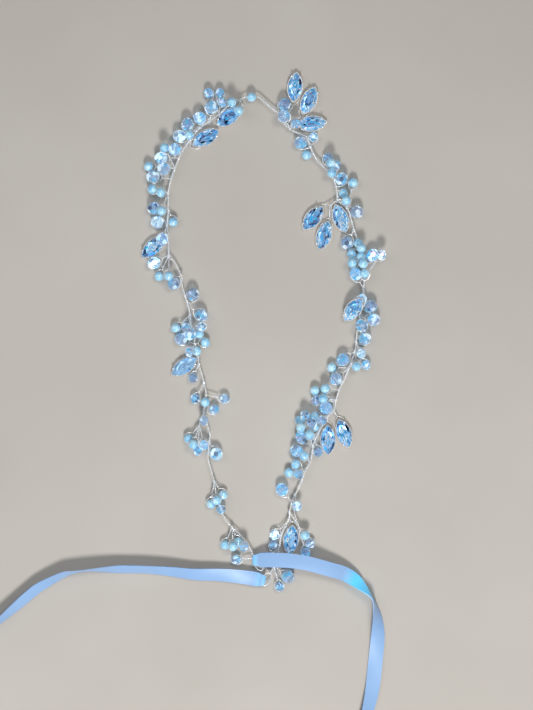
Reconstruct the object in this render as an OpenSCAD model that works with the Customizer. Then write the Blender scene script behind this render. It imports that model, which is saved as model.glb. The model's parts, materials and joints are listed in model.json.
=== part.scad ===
// Hair vine: a wire stem in two halves with beads, navette stones in claw settings and two ribbons.
// It lies on a table. +X is to the right, +Y is towards the top of the vine, +Z is up.

/* [Wire] */
// Thickness of the single silver wire that loops through each bead
wire_d = 0.4; // [0.3:0.05:0.5]
// Thickness of the twisted stalk that carries a bead
stalk_d = 0.7; // [0.6:0.05:0.9]
// Thickness of the stem
stem_d = 1; // [0.8:0.1:1.4]
// Thickness of the wrapped wire where stalks leave the stem
wrap_d = 1.4; // [1.2:0.1:1.8]
// Length of the wrapped wire along the stem
wrap_l = 1.6; // [1:0.2:2.4]
// Thickness of the loops at both ends of the vine
end_wire_d = 0.7; // [0.6:0.1:1]
// Length of an end loop
end_loop_l = 7; // [6:0.5:9]
// Width of an end loop
end_loop_w = 4; // [3:0.5:5]

/* [Beads] */
// Diameter of a large clear crystal bead
crystal_d = 6.4; // [5:0.2:7]
// Diameter of a small clear crystal bead
small_crystal_d = 4.8; // [4:0.2:5.4]
// Diameter of a milky opal bead
opal_d = 4.7; // [4:0.1:5.4]
// Clearance all round between a wire and the hole of its bead
hole_clearance = 0.2; // [0.15:0.05:0.3]

/* [Navette stones] */
// Length of a stone from tip to tip
stone_l = 14.4; // [12:0.4:16]
// Width of a stone
stone_w = 7; // [6:0.2:8]
// Height of the girdle band of a stone
girdle_h = 0.3; // [0.2:0.1:0.5]
// Height of the crown over the girdle
crown_h = 1.3; // [1:0.1:1.8]
// Depth of the pavilion below the girdle
pavilion_h = 1.1; // [0.8:0.1:1.2]
// Length of the flat table on top of a stone
table_l = 8.6; // [7:0.2:9]
// Width of the flat table
table_w = 4.2; // [3:0.2:5]

/* [Claw settings] */
// Thickness of a setting's side wall
rim_t = 0.4; // [0.3:0.05:0.6]
// Height of a setting's side wall
rim_h = 2; // [1.8:0.1:2.4]
// Width of the flange under the stone
flange_w = 1; // [0.6:0.1:1.4]
// Thickness of the flange
flange_t = 0.3; // [0.2:0.05:0.4]
// Clearance between a stone and its setting
stone_clearance = 0.06; // [0.05:0.01:0.1]
// Diameter of a claw's post
claw_d = 0.7; // [0.6:0.05:0.9]
// Diameter of the round claw tip that holds the crown
claw_tip_d = 0.9; // [0.8:0.05:1]
// Distance of a claw from the middle of the stone
claw_x = 5.2; // [4.4:0.2:5.6]
// Distance of the wire hole from the middle of the stone
eye_x = 4; // [3:0.2:4.6]

/* [Ribbons] */
// Width of a satin ribbon
ribbon_w = 7.2; // [6:0.2:9]
// Thickness of a ribbon
ribbon_t = 0.8; // [0.6:0.1:1]

/* [Hidden] */

// The plan of the vine is drawn for these sizes, and opens out when a bead or a stone outgrows them
PLAN_CRYSTAL_D = 6.4;
PLAN_SMALL_D = 4.8;
PLAN_OPAL_D = 4.7;
PLAN_STONE_L = 14.4;
PLAN_STONE_W = 7;
spread = max(crystal_d / PLAN_CRYSTAL_D, small_crystal_d / PLAN_SMALL_D, opal_d / PLAN_OPAL_D,
             stone_l / PLAN_STONE_L, stone_w / PLAN_STONE_W, 1);
// The plan is moved by this much, so that the origin is in the middle of the vine
PLAN_SHIFT = [-0.3, -0.6];

// Clearances and reaches of the wire loops
mouth_gap = 0.35;
shoulder_gap = 0.8;
neck_gap = 1.4;
stone_shoulder = 1.3;
// Where a stalk is short, its neck is this share of its length away from the bead's middle
NECK_SHARE = 0.9;
// Gap between the loop's shoulder and the end of a setting
stone_shoulder_gap = 0.2;
// Every how many route points the stem is wrapped
WRAP_STEP = 5;
bead_hole_d = wire_d + 2 * hole_clearance;
stem_hole_d = stem_d + 2 * hole_clearance;
WIRE_SIDES = 5;
STEM_SIDES = 6;
// The stem's corners are turned against those of the stalks, so that no edges coincide where they join
STEM_TURN = 8;
LOOP_POINTS = 9;

// The profile of a cut bead has a flat middle from -BEVEL_START to BEVEL_START and a bevel to BEVEL_END,
// in degrees from its waist
BEVEL_START = 20;
BEVEL_END = 66;
// Facet points round a stone's outline
STONE_POINTS = 10;
// The flat bottom of a stone is these shares of its length and width
CULET_L_SHARE = 0.35;
CULET_W_SHARE = 0.3;
// A claw stands this much outside the middle of the setting's rim
claw_out = 0.05;
// Thickness of the thin discs at the ends of a wrap
wrap_end_t = 0.1;

// Route of the left half of the stem, from its end loop to the top: x, y, height
LEFT = [
    [-4, -112.5, 3], [-9.5, -103, 3], [-15.5, -97, 3], [-20, -91.5, 3], [-23, -82, 3],
    [-24.5, -74, 3], [-26, -68.5, 3], [-27.5, -62, 3], [-27, -54.5, 3], [-26.5, -51, 3],
    [-28, -45.5, 3], [-29.5, -40, 3], [-28.5, -31, 3], [-29.5, -25, 3], [-32, -15.5, 3],
    [-32.5, -12, 3], [-34, -5.5, 3], [-35.5, 2, 3], [-36.5, 9, 3], [-37.5, 13.5, 3],
    [-39, 18.5, 3], [-40.5, 24, 3], [-41, 29, 3], [-44.5, 35.5, 3], [-47, 39, 3],
    [-47.5, 48.5, 3], [-48, 54, 3], [-47.5, 62, 3], [-47.5, 70, 3], [-46, 77, 3],
    [-44, 82.5, 3], [-42, 87.5, 3], [-40, 91.5, 3], [-36.5, 96.5, 3], [-31.5, 102.5, 3],
    [-26.5, 106, 3], [-22, 109.5, 3], [-17, 114, 3], [-11.5, 116.5, 3], [-9, 117.9, 3],
    [-6, 117.9, 3]
];
// Route of the right half, from the top to its end loop
RIGHT = [
    [-5.5, 117.9, 3], [-2.2, 117.9, 3], [3.5, 113, 3], [8, 109.5, 3], [10, 105.5, 3],
    [13.5, 102, 3], [18.5, 99.5, 3], [22, 97.5, 3], [23.8, 93, 3], [26.5, 87, 3],
    [30, 83.5, 3], [33, 80.5, 3], [35, 77.5, 3], [36.5, 73, 3], [37.5, 66.5, 3],
    [42, 62.5, 3], [44, 57, 3], [45.5, 51.5, 3], [47, 47.5, 3], [48.5, 41, 3],
    [50, 33, 3], [50.5, 28, 3], [50.3, 22, 3], [49, 13, 3], [48.3, 8, 3],
    [47, 1, 3], [46.5, -4.5, 3], [46, -9, 3], [43, -17.5, 3], [40.5, -23.5, 3],
    [38, -28.5, 3], [36.5, -33.5, 3], [35.3, -39, 3], [32.5, -41.5, 3], [29, -47.5, 3],
    [26, -53.5, 3], [25, -57, 3], [23.5, -64.5, 3], [21, -69, 3], [19.5, -73.5, 3],
    [16, -81, 3], [14.3, -84.5, 3], [13.2, -89.8, 3], [12.8, -93.5, 3], [9.3, -100.5, 3],
    [8, -107.5, 3], [5.5, -116.5, 3], [3.5, -120, 3]
];
// Side branches of the left and the right half
LEFT_TWIG = [[-29.5, -40, 3], [-31, -43.5, 3], [-31.8, -46, 3]];
RIGHT_TWIG = [[37.5, 66.5, 3], [33.5, 63.8, 3]];

// Routes of the ribbons: x, y, height of the middle and how far the ribbon is turned on edge
RIBBON_RIGHT = [
    [-2.5, -113.5, 3.8, 0], [5, -113.2, 6.4, 0], [13.5, -113.5, 7.5, 0], [23, -115, 7.5, 0],
    [33.5, -118, 6, 0], [40, -120, 5, 12], [46, -123.5, 4.6, 32], [51, -128, 4.4, 66],
    [54.6, -132.4, 4.2, 84], [56.2, -137.5, 3.9, 68], [57.1, -142.5, 3.4, 50],
    [57.4, -148, 2.5, 30], [57.3, -154, 1.4, 12], [56, -167.5, 1, 0], [54.6, -179, 1.6, 14],
    [52.5, -188.5, 2.5, 32], [51, -194, 2.8, 38]
];
RIBBON_LEFT = [
    [-1.5, -123.5, 3, 0], [-9, -122.2, 2.6, 12], [-21.5, -121, 2.6, 26], [-34, -120.7, 2.8, 35],
    [-45, -119.4, 3.1, 45], [-56.5, -118.4, 3.3, 53], [-66.5, -118.1, 3.3, 53],
    [-72.5, -118.1, 3.4, 54], [-81.5, -118.4, 3.8, 69], [-89.5, -118.8, 4.1, 82],
    [-95, -119.7, 4, 76], [-100, -120.9, 3.7, 65], [-111.5, -126.9, 3.2, 49],
    [-116.5, -130.7, 3.1, 48], [-121.5, -135, 3.2, 49], [-131.5, -143.7, 3.7, 65],
    [-135.5, -147.3, 3.8, 67]
];

// Bead charts: x, y, height of the middle, kind and the route point that its stalk leaves from.
// C is a large crystal, K a small crystal and O an opal. Points from 100 on are on the side branch.
LEFT_BEADS = [
    [-19, -106, 2.4, "O", 2], [-15, -106.5, 6.2, "O", 2], [-12.5, -104.5, 2.4, "O", 2],
    [-9.5, -106.5, 6.8, "K", 1], [-13.5, -113.5, 2.4, "K", 0],
    [-20, -81, 2.4, "O", 5], [-23, -83.5, 6, "O", 5], [-26, -85.5, 2.4, "O", 5],
    [-23.3, -60.5, 3.2, "C", 8],
    [-29.5, -43.7, 6.3, "K", 11], [-37.3, -52.8, 2.4, "O", 102], [-34.8, -55.6, 5.6, "O", 102],
    [-32.7, -58.9, 2.4, "K", 102], [-29.5, -56, 5.6, "K", 102],
    [-19, -33, 2.4, "K", 12], [-24.3, -38.3, 2.4, "K", 11], [-34, -33, 2.4, "K", 13],
    [-35, -22.6, 2.4, "K", 14], [-36.5, -9.5, 6.8, "K", 16], [-28.8, -4.7, 2.4, "O", 16],
    [-43.7, 2.5, 2.4, "O", 18], [-38.6, 2.9, 2.4, "K", 18], [-41, -3, 3.2, "C", 16],
    [-36.5, -0.5, 7.4, "C", 18], [-31.9, -0.5, 2.4, "O", 17], [-30.5, 3, 6.2, "K", 17],
    [-30.8, 8.8, 3.2, "C", 19], [-35, 19.3, 3.2, "C", 19],
    [-44.7, 24.5, 3.2, "C", 22], [-47, 28.3, 6.9, "O", 24], [-52, 28.3, 2.4, "O", 24],
    [-54.5, 35, 3.2, "C", 24], [-50.3, 46.5, 7.8, "C", 26],
    [-44.9, 55.5, 2.4, "O", 27], [-52.8, 55.5, 3.2, "C", 26], [-50.6, 60.8, 7.2, "O", 28],
    [-54.6, 62.3, 3.2, "C", 27], [-51, 70, 6.2, "O", 28], [-55.5, 72, 2.4, "O", 28],
    [-55, 78, 3.2, "C", 29], [-57.3, 83.3, 2.4, "O", 30], [-49.5, 81.8, 7.2, "C", 30],
    [-51, 87.5, 3.2, "C", 31], [-49.1, 92.3, 6.6, "O", 30], [-44.3, 91.8, 3.2, "C", 32],
    [-41.8, 98.4, 3.2, "C", 33], [-36.8, 98.8, 6.2, "O", 34], [-37.8, 104.4, 3.2, "C", 33],
    [-31.7, 107.5, 3.2, "C", 35], [-27.2, 120.1, 2.4, "K", 36], [-21.5, 120.1, 2.4, "K", 36],
    [-20.5, 115, 6, "K", 37], [-25.8, 112.5, 6.9, "C", 35],
    [-15.5, 115, 6.4, "O", 38], [-12.1, 110.6, 7.2, "O", 38]
];
RIGHT_BEADS = [
    [10.7, 114.2, 3.2, "C", 3], [10.5, 108, 7.1, "C", 5], [16.2, 104.3, 7, "K", 5],
    [18.7, 95, 3.2, "C", 8], [25.2, 98, 2.4, "K", 8], [21.8, 89, 2.4, "O", 8],
    [32.5, 87.7, 2.4, "K", 10], [36.5, 84, 2.4, "K", 11], [33.8, 84.7, 7.3, "O", 11],
    [34.3, 79.8, 6.6, "O", 12], [39.3, 77, 3.2, "C", 13], [45.2, 75.2, 2.4, "O", 15],
    [40.2, 70, 2.4, "O", 14], [41.5, 66, 6.1, "O", 15], [47, 60.5, 3.2, "C", 15],
    [41.9, 45, 3.2, "C", 17], [49, 42.3, 6.9, "O", 19], [44.3, 39.5, 2.4, "O", 19],
    [54.7, 38.9, 3.2, "C", 20], [59, 38.8, 7.1, "K", 21], [44.5, 34.9, 5.8, "O", 20],
    [50, 34.5, 6.3, "O", 20], [46.3, 29.5, 3.2, "C", 22], [50.8, 29.6, 6.2, "O", 22],
    [53.8, 13.3, 3.2, "C", 23], [55.3, 6.7, 3.2, "C", 24], [49.3, 3.5, 7.1, "C", 24],
    [50.9, -2.9, 3.2, "C", 26], [49, -10.3, 6, "K", 26], [39.9, -13.4, 3.2, "C", 27],
    [34.3, -17.2, 2.4, "O", 28], [46.6, -16.7, 6, "O", 27], [51.5, -16, 2.4, "K", 27],
    [36.5, -23, 3.2, "C", 28], [31, -27.8, 5.6, "O", 30], [26, -28.7, 2.4, "O", 31],
    [26.6, -33.8, 2.4, "K", 31], [30, -32.8, 6.2, "O", 31], [31.4, -37.5, 3.2, "C", 31],
    [29.3, -43.7, 6.2, "K", 33], [25.7, -41.8, 2.4, "O", 33], [20.9, -41, 5.6, "K", 35],
    [18.3, -43.5, 2.4, "O", 35], [25.8, -47, 2.4, "O", 35], [24.3, -44.6, 7, "K", 35],
    [18.8, -47.2, 6.6, "O", 35], [19.2, -52, 3.2, "C", 36], [23.2, -50.8, 7.5, "O", 36],
    [16.8, -59, 3.2, "C", 37], [20.5, -61.2, 6.9, "O", 37], [27.6, -59.6, 2.4, "K", 35],
    [16.2, -65.4, 5.8, "O", 38], [13, -69.8, 2.4, "O", 38], [17.7, -70.3, 5.6, "K", 39],
    [9.5, -78.3, 3.2, "C", 41], [17, -86.4, 6.2, "K", 40],
    [5.8, -101, 2.4, "K", 43], [5.2, -106, 2.4, "K", 46],
    [21, -101, 5.8, "O", 42], [23.6, -105.4, 2.4, "K", 42], [21.4, -109.9, 2.4, "K", 41],
    [12.6, -121.9, 3.2, "C", 46], [8.3, -127, 2.4, "K", 46]
];
// Beads threaded on the stem itself: place along the route and kind
LEFT_THREADED = [[3.35, "K"], [11.6, "O"], [15.45, "O"]];
RIGHT_THREADED = [[18.4, "O"], [19.35, "O"], [22.5, "K"]];

// Stone charts: x, y, height of the setting's base, turn in the plan, tilt of the far tip upwards,
// roll about the length and the route point that its stalk leaves from
LEFT_STONES = [
    [-17, 108.3, 0.1, 217, 0, 0, 38], [-28.7, 97.7, 0.1, 30, 0, 0, 33],
    [-55, 43, 0.1, 222, 0, 0, 25], [-39.5, -16.7, 0.1, 213.7, 0, 0, 15]
];
RIGHT_STONES = [
    [16, 123, 0.1, 84, 0, 0, 4], [23, 116.3, 0.1, 65.7, 0, 0, 4], [24.5, 104.8, 0.1, 6, 0, 0, 5],
    [25, 57.5, 0.1, 229.8, 0, 0, 101], [30.5, 48.8, 0.1, 252.6, 0, 0, 101],
    [38.8, 57.3, 0.1, 290.1, 0, 0, 14], [45.5, 12.2, 3.9, 232, -22, 0, 22],
    [32.5, -53.5, 0.1, 271, 0, 0, 33], [40.5, -50.3, 0.1, 289.5, 0, 0, 32],
    [14, -103.5, 0.1, 263.4, 0, 0, 43]
];

// Places on the plan
function place(p) = [
    p[0] * spread + PLAN_SHIFT[0],
    p[1] * spread + PLAN_SHIFT[1],
    p[2] * spread
];
function along(route, t) =
    let (i = floor(t), start = route[i], end = route[i + 1])
    place(start + (end - start) * (t - i));
function heading(route, t) = place(route[floor(t) + 1]) - place(route[floor(t)]);
function hub(route, twig, i) = place(i < 100 ? route[i] : twig[i - 100]);
function unit(v) = v / norm(v);

// Sizes by kind
function bead_r(kind) = (kind == "C" ? crystal_d : kind == "K" ? small_crystal_d : opal_d) / 2;
function bore_half(kind) = bead_r(kind) * (kind == "O" ? 1 : sin(BEVEL_END));

// Half the width of a pointed oval, at a distance from its middle
function oval_r(l, w) = (l * l + w * w) / (4 * w);
function oval_half(l, w, x) = sqrt(pow(oval_r(l, w), 2) - x * x) - oval_r(l, w) + w / 2;

// Swept tubes: two triangles for each side between neighbouring rings
function side_of(d) = unit(cross(d, [0, 0, 1]));
function direction(path, i) =
    let (n = len(path) - 1)
    i == 0 ? unit(path[1] - path[0])
    : i == n ? unit(path[n] - path[n - 1])
    : unit(unit(path[i] - path[i - 1]) + unit(path[i + 1] - path[i]));
function skin(rings, sides) = concat(
    [for (i = [0 : rings - 2]) for (k = [0 : sides - 1])
        [i * sides + k, (i + 1) * sides + (k + 1) % sides, (i + 1) * sides + k]],
    [for (i = [0 : rings - 2]) for (k = [0 : sides - 1])
        [i * sides + k, i * sides + (k + 1) % sides, (i + 1) * sides + (k + 1) % sides]],
    [[for (k = [sides - 1 : -1 : 0]) k], [for (k = [0 : sides - 1]) (rings - 1) * sides + k]]
);
module tube(path, radii, sides, start = 0) {
    points = [
        for (i = [0 : len(path) - 1])
            let (d = direction(path, i), s = side_of(d), up = cross(s, d))
            for (k = [0 : sides - 1])
                let (a = start + 360 * k / sides)
                    path[i] + radii[i] * (cos(a) * s + sin(a) * up)
    ];
    polyhedron(points = points, faces = skin(len(path), sides), convexity = 10);
}
function even(path, r) = [for (p = path) r];

// Stalk that thins at its neck to one fine wire, which turns round a shoulder and goes through a hole
// from one mouth to the other
module stalk(from, neck, shoulder, mouths) {
    fine = wire_d / 2;
    tube([from, neck, shoulder, mouths[0], mouths[1]],
         [stalk_d / 2, stalk_d / 2, fine, fine, fine], WIRE_SIDES);
}
module bead_stalk(from, centre, kind) {
    r = bead_r(kind);
    forward = unit(centre - from);
    s = side_of(forward);
    diagonal = (r + shoulder_gap) * cos(45);
    stalk(
        from,
        centre - forward * min(r + neck_gap, norm(centre - from) * NECK_SHARE),
        centre - forward * diagonal + s * diagonal,
        [for (a = [1, -1]) centre + s * a * (bore_half(kind) + mouth_gap)]
    );
}

// Wrapped wire round a place on the stem where stalks leave
module wrap(route, i) {
    here = place(route[i]);
    ahead = unit(place(route[min(i + 1, len(route) - 1)]) - place(route[max(i - 1, 0)]));
    hull() {
        for (end = [-1, 1])
            translate(here + ahead * end * wrap_l / 2)
                rotate([0, 0, atan2(ahead[1], ahead[0])])
                    rotate([0, 90, 0])
                        cylinder(d = wrap_d, h = wrap_end_t, center = true, $fn = 6);
    }
}

// Closed loop at the end of a stem half
module end_loop(tip, heading) {
    middle = tip + heading * (end_loop_l / 2);
    s = side_of(heading);
    path = [
        for (a = [0 : 360 / LOOP_POINTS : 360])
            middle - heading * (cos(a) * end_loop_l / 2) + s * (sin(a) * end_loop_w / 2)
    ];
    tube(path, even(path, end_wire_d / 2), WIRE_SIDES);
}

module stem(route, twig, beads, stones, tip, before_tip) {
    color("silver") union() {
        tube([for (p = route) place(p)], even(route, stem_d / 2), STEM_SIDES, STEM_TURN);
        tube([for (p = twig) place(p)], even(twig, stem_d / 2), STEM_SIDES, STEM_TURN);
        for (b = beads) bead_stalk(hub(route, twig, b[4]), place(b), b[3]);
        for (s = stones) stone_stalk(hub(route, twig, s[6]), s);
        for (i = [2 : WRAP_STEP : len(route) - 2]) wrap(route, i);
        wrap(route, tip);
        wrap(twig, len(twig) - 1);
        end_loop(place(route[tip]), unit(place(route[tip]) - place(route[before_tip])));
    }
}

// Frame of a stone, from its own axes to the plan
module seated(s) {
    translate(place(s)) rotate([0, 0, s[3]]) rotate([0, -s[4], 0]) rotate([s[5], 0, 0]) children();
}
function turned(v, s) =
    let (a = [v[0], v[1] * cos(s[5]) - v[2] * sin(s[5]), v[1] * sin(s[5]) + v[2] * cos(s[5])],
         b = [a[0] * cos(s[4]) - a[2] * sin(s[4]), a[1], a[0] * sin(s[4]) + a[2] * cos(s[4])])
    [b[0] * cos(s[3]) - b[1] * sin(s[3]), b[0] * sin(s[3]) + b[1] * cos(s[3]), b[2]];
setting_l = stone_l + 2 * (stone_clearance + rim_t);
setting_w = stone_w + 2 * (stone_clearance + rim_t);
eye_z = flange_t + wire_d / 2 + hole_clearance;
module stone_stalk(from, s) {
    eye_half = oval_half(setting_l, setting_w, eye_x) + mouth_gap;
    eye = place(s) + turned([-eye_x, 0, eye_z], s);
    shoulder = place(s) + turned([-setting_l / 2 - stone_shoulder_gap, 0, eye_z], s);
    side = turned([0, 1, 0], s);
    stalk(
        from,
        place(s) + turned([-setting_l / 2 - neck_gap, 0, eye_z], s),
        shoulder + side * stone_shoulder,
        [for (a = [1, -1]) eye + side * a * eye_half]
    );
}

// Beads
module along_axis(centre, axis) {
    translate(centre) rotate([0, 0, atan2(axis[1], axis[0])]) rotate([0, 90, 0]) children();
}
module cut_bead(r, hole_d) {
    rotate_extrude($fn = 48)
        polygon([
            [hole_d / 2, -r * sin(BEVEL_END)],
            for (a = [-BEVEL_END, -BEVEL_START, BEVEL_START, BEVEL_END]) [r * cos(a), r * sin(a)],
            [hole_d / 2, r * sin(BEVEL_END)]
        ]);
}
module round_bead(r, hole_d) {
    difference() {
        sphere(r = r, $fn = 48);
        cylinder(d = hole_d, h = 2 * r + 1, center = true, $fn = 48);
    }
}
module bead(kind, hole_d) {
    if (kind == "O") round_bead(opal_d / 2, hole_d);
    else cut_bead(bead_r(kind), hole_d);
}
module strung_beads(route, twig, beads, threaded, kind) {
    for (b = beads)
        if (b[3] == kind)
            along_axis(place(b), side_of(place(b) - hub(route, twig, b[4])))
                bead(kind, bead_hole_d);
    for (t = threaded)
        if (t[1] == kind)
            along_axis(along(route, t[0]), heading(route, t[0]))
                bead(kind, stem_hole_d);
}
module crystals(route, twig, beads, threaded) {
    color("lightsteelblue") strung_beads(route, twig, beads, threaded, "C");
}
module small_crystals(route, twig, beads, threaded) {
    color("lightblue") strung_beads(route, twig, beads, threaded, "K");
}
module opals(route, twig, beads, threaded) {
    color("paleturquoise") strung_beads(route, twig, beads, threaded, "O");
}
module top_opal() {
    color("paleturquoise")
        along_axis(place((LEFT[len(LEFT) - 1] + RIGHT[0]) / 2), [1, 0, 0]) bead("O", stem_hole_d);
}

// Stones and settings
function oval_points(l, w, z) = [
    for (k = [0 : STONE_POINTS - 1])
        let (x = -l / 2 * cos(360 * k / STONE_POINTS),
             at_tip = k == 0 || 2 * k == STONE_POINTS,
             side = 2 * k < STONE_POINTS ? 1 : -1)
        [x, at_tip ? 0 : oval_half(l, w, x) * side, z]
];
module stone(s) {
    girdle_z = rim_h;
    rings = [
        oval_points(stone_l * CULET_L_SHARE, stone_w * CULET_W_SHARE, girdle_z - pavilion_h),
        oval_points(stone_l, stone_w, girdle_z),
        oval_points(stone_l, stone_w, girdle_z + girdle_h),
        oval_points(table_l, table_w, girdle_z + girdle_h + crown_h)
    ];
    color("deepskyblue") seated(s)
        polyhedron(
            points = [for (ring = rings) each ring],
            faces = skin(len(rings), STONE_POINTS),
            convexity = 4
        );
}
module oval(l, w, h) {
    r = oval_r(l, w);
    intersection() {
        translate([0, w / 2 - r, 0]) cylinder(r = r, h = h, $fn = 96);
        translate([0, r - w / 2, 0]) cylinder(r = r, h = h, $fn = 96);
    }
}
module setting(s) {
    inner_l = stone_l + 2 * stone_clearance;
    inner_w = stone_w + 2 * stone_clearance;
    tip_z = rim_h + girdle_h + claw_tip_d / 2;
    claw_y = oval_half(inner_l, inner_w, claw_x) + rim_t / 2 + claw_out;
    color("silver") seated(s) {
        difference() {
            union() {
                oval(setting_l, setting_w, rim_h);
                for (x = [-claw_x, claw_x])
                    for (y = [-claw_y, claw_y])
                        translate([x, y, 0]) {
                            cylinder(d = claw_d, h = tip_z, $fn = 24);
                            translate([0, 0, tip_z]) sphere(d = claw_tip_d, $fn = 24);
                        }
            }
            translate([0, 0, flange_t]) oval(inner_l, inner_w, rim_h + girdle_h);
            translate([0, 0, -1]) oval(stone_l - 2 * flange_w, stone_w - 2 * flange_w, rim_h);
            translate([-eye_x, 0, eye_z]) rotate([90, 0, 0])
                cylinder(d = bead_hole_d, h = setting_w + 2, center = true, $fn = 24);
        }
    }
}

// Flat ribbon swept along its route, turned on edge where it twists
module ribbon(route) {
    n = len(route);
    path = [for (p = route) place(p)];
    half_w = ribbon_w / 2;
    half_t = ribbon_t / 2;
    section = [
        [-half_w, 0], [half_t - half_w, -half_t], [half_w - half_t, -half_t],
        [half_w, 0], [half_w - half_t, half_t], [half_t - half_w, half_t]
    ];
    points = [
        for (i = [0 : n - 1])
            let (d = direction(path, i), flat = side_of(d), up = cross(flat, d), a = route[i][3],
                 s = flat * cos(a) + up * sin(a), t = up * cos(a) - flat * sin(a))
            for (q = section) path[i] + s * q[0] + t * q[1]
    ];
    color("lightcyan") polyhedron(points = points, faces = skin(n, len(section)), convexity = 10);
}

module crystals_left() {
    crystals(LEFT, LEFT_TWIG, LEFT_BEADS, LEFT_THREADED);
}
module crystals_right() {
    crystals(RIGHT, RIGHT_TWIG, RIGHT_BEADS, RIGHT_THREADED);
}
module small_crystals_left() {
    small_crystals(LEFT, LEFT_TWIG, LEFT_BEADS, LEFT_THREADED);
}
module small_crystals_right() {
    small_crystals(RIGHT, RIGHT_TWIG, RIGHT_BEADS, RIGHT_THREADED);
}
module opals_left() {
    opals(LEFT, LEFT_TWIG, LEFT_BEADS, LEFT_THREADED);
}
module opals_right() {
    opals(RIGHT, RIGHT_TWIG, RIGHT_BEADS, RIGHT_THREADED);
}
module stem_left() {
    stem(LEFT, LEFT_TWIG, LEFT_BEADS, LEFT_STONES, 0, 1);
}
module stem_right() {
    stem(RIGHT, RIGHT_TWIG, RIGHT_BEADS, RIGHT_STONES, len(RIGHT) - 1, len(RIGHT) - 2);
}

stem_left();
stem_right();
top_opal();
crystals_left();
crystals_right();
small_crystals_left();
small_crystals_right();
opals_left();
opals_right();
stone(LEFT_STONES[0]);  // stone_left_1
stone(LEFT_STONES[1]);  // stone_left_2
stone(LEFT_STONES[2]);  // stone_left_3
stone(LEFT_STONES[3]);  // stone_left_4
stone(RIGHT_STONES[0]);  // stone_right_1
stone(RIGHT_STONES[1]);  // stone_right_2
stone(RIGHT_STONES[2]);  // stone_right_3
stone(RIGHT_STONES[3]);  // stone_right_4
stone(RIGHT_STONES[4]);  // stone_right_5
stone(RIGHT_STONES[5]);  // stone_right_6
stone(RIGHT_STONES[6]);  // stone_right_7
stone(RIGHT_STONES[7]);  // stone_right_8
stone(RIGHT_STONES[8]);  // stone_right_9
stone(RIGHT_STONES[9]);  // stone_right_10
setting(LEFT_STONES[0]);  // setting_left_1
setting(LEFT_STONES[1]);  // setting_left_2
setting(LEFT_STONES[2]);  // setting_left_3
setting(LEFT_STONES[3]);  // setting_left_4
setting(RIGHT_STONES[0]);  // setting_right_1
setting(RIGHT_STONES[1]);  // setting_right_2
setting(RIGHT_STONES[2]);  // setting_right_3
setting(RIGHT_STONES[3]);  // setting_right_4
setting(RIGHT_STONES[4]);  // setting_right_5
setting(RIGHT_STONES[5]);  // setting_right_6
setting(RIGHT_STONES[6]);  // setting_right_7
setting(RIGHT_STONES[7]);  // setting_right_8
setting(RIGHT_STONES[8]);  // setting_right_9
setting(RIGHT_STONES[9]);  // setting_right_10
ribbon(RIBBON_LEFT);  // ribbon_left
ribbon(RIBBON_RIGHT);  // ribbon_right
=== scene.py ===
"""Hair vine: two halves of twisted silver wire with cut beads, opals, navette stones and satin ribbons."""

from __future__ import annotations

import json
import logging
import math
import random
from dataclasses import dataclass, field
from enum import Enum
from typing import Sequence

import bpy
from mathutils import Matrix, Vector

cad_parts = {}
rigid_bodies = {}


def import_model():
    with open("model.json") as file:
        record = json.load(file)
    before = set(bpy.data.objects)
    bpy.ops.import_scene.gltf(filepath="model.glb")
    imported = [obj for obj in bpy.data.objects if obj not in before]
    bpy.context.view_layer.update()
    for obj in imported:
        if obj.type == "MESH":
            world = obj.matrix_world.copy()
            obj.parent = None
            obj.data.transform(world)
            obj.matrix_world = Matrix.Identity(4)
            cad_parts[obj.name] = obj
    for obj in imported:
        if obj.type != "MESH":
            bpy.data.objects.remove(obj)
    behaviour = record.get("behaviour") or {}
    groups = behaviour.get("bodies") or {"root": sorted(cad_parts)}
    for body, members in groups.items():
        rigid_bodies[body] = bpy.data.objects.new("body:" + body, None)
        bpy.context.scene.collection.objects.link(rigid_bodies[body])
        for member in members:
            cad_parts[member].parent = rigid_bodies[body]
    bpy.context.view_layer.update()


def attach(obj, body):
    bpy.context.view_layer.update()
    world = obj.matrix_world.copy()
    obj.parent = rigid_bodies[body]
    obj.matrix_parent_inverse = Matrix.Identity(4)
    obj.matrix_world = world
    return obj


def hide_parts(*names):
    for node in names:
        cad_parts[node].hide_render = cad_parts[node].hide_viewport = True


LOG = logging.getLogger("hair_vine")
MM = 0.001
UP = Vector((0, 0, 1))
# Edges are smoothed up to this angle.
SHARP_EDGE = math.radians(50)
# Bevel resolution of a wire, which gives it six sides.
WIRE_ROUNDNESS = 1
# Size of the block that a piece is cut from, as a share of the piece.
BLOCK = 1.2
# Shift from the charts to the vine's place, in millimetres.
PLAN_SHIFT = Vector((-0.3, -0.6, 0.0))
# Width and height of the picture in pixels.
PICTURE = (533, 710)
# Number of a side branch's first point where a chart names the point that a stalk leaves from.
TWIG_FROM = 100

Chart = Sequence[Sequence[float]]
Paint = tuple[float, float, float, float]
Stops = tuple[tuple[float, Paint], ...]

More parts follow.
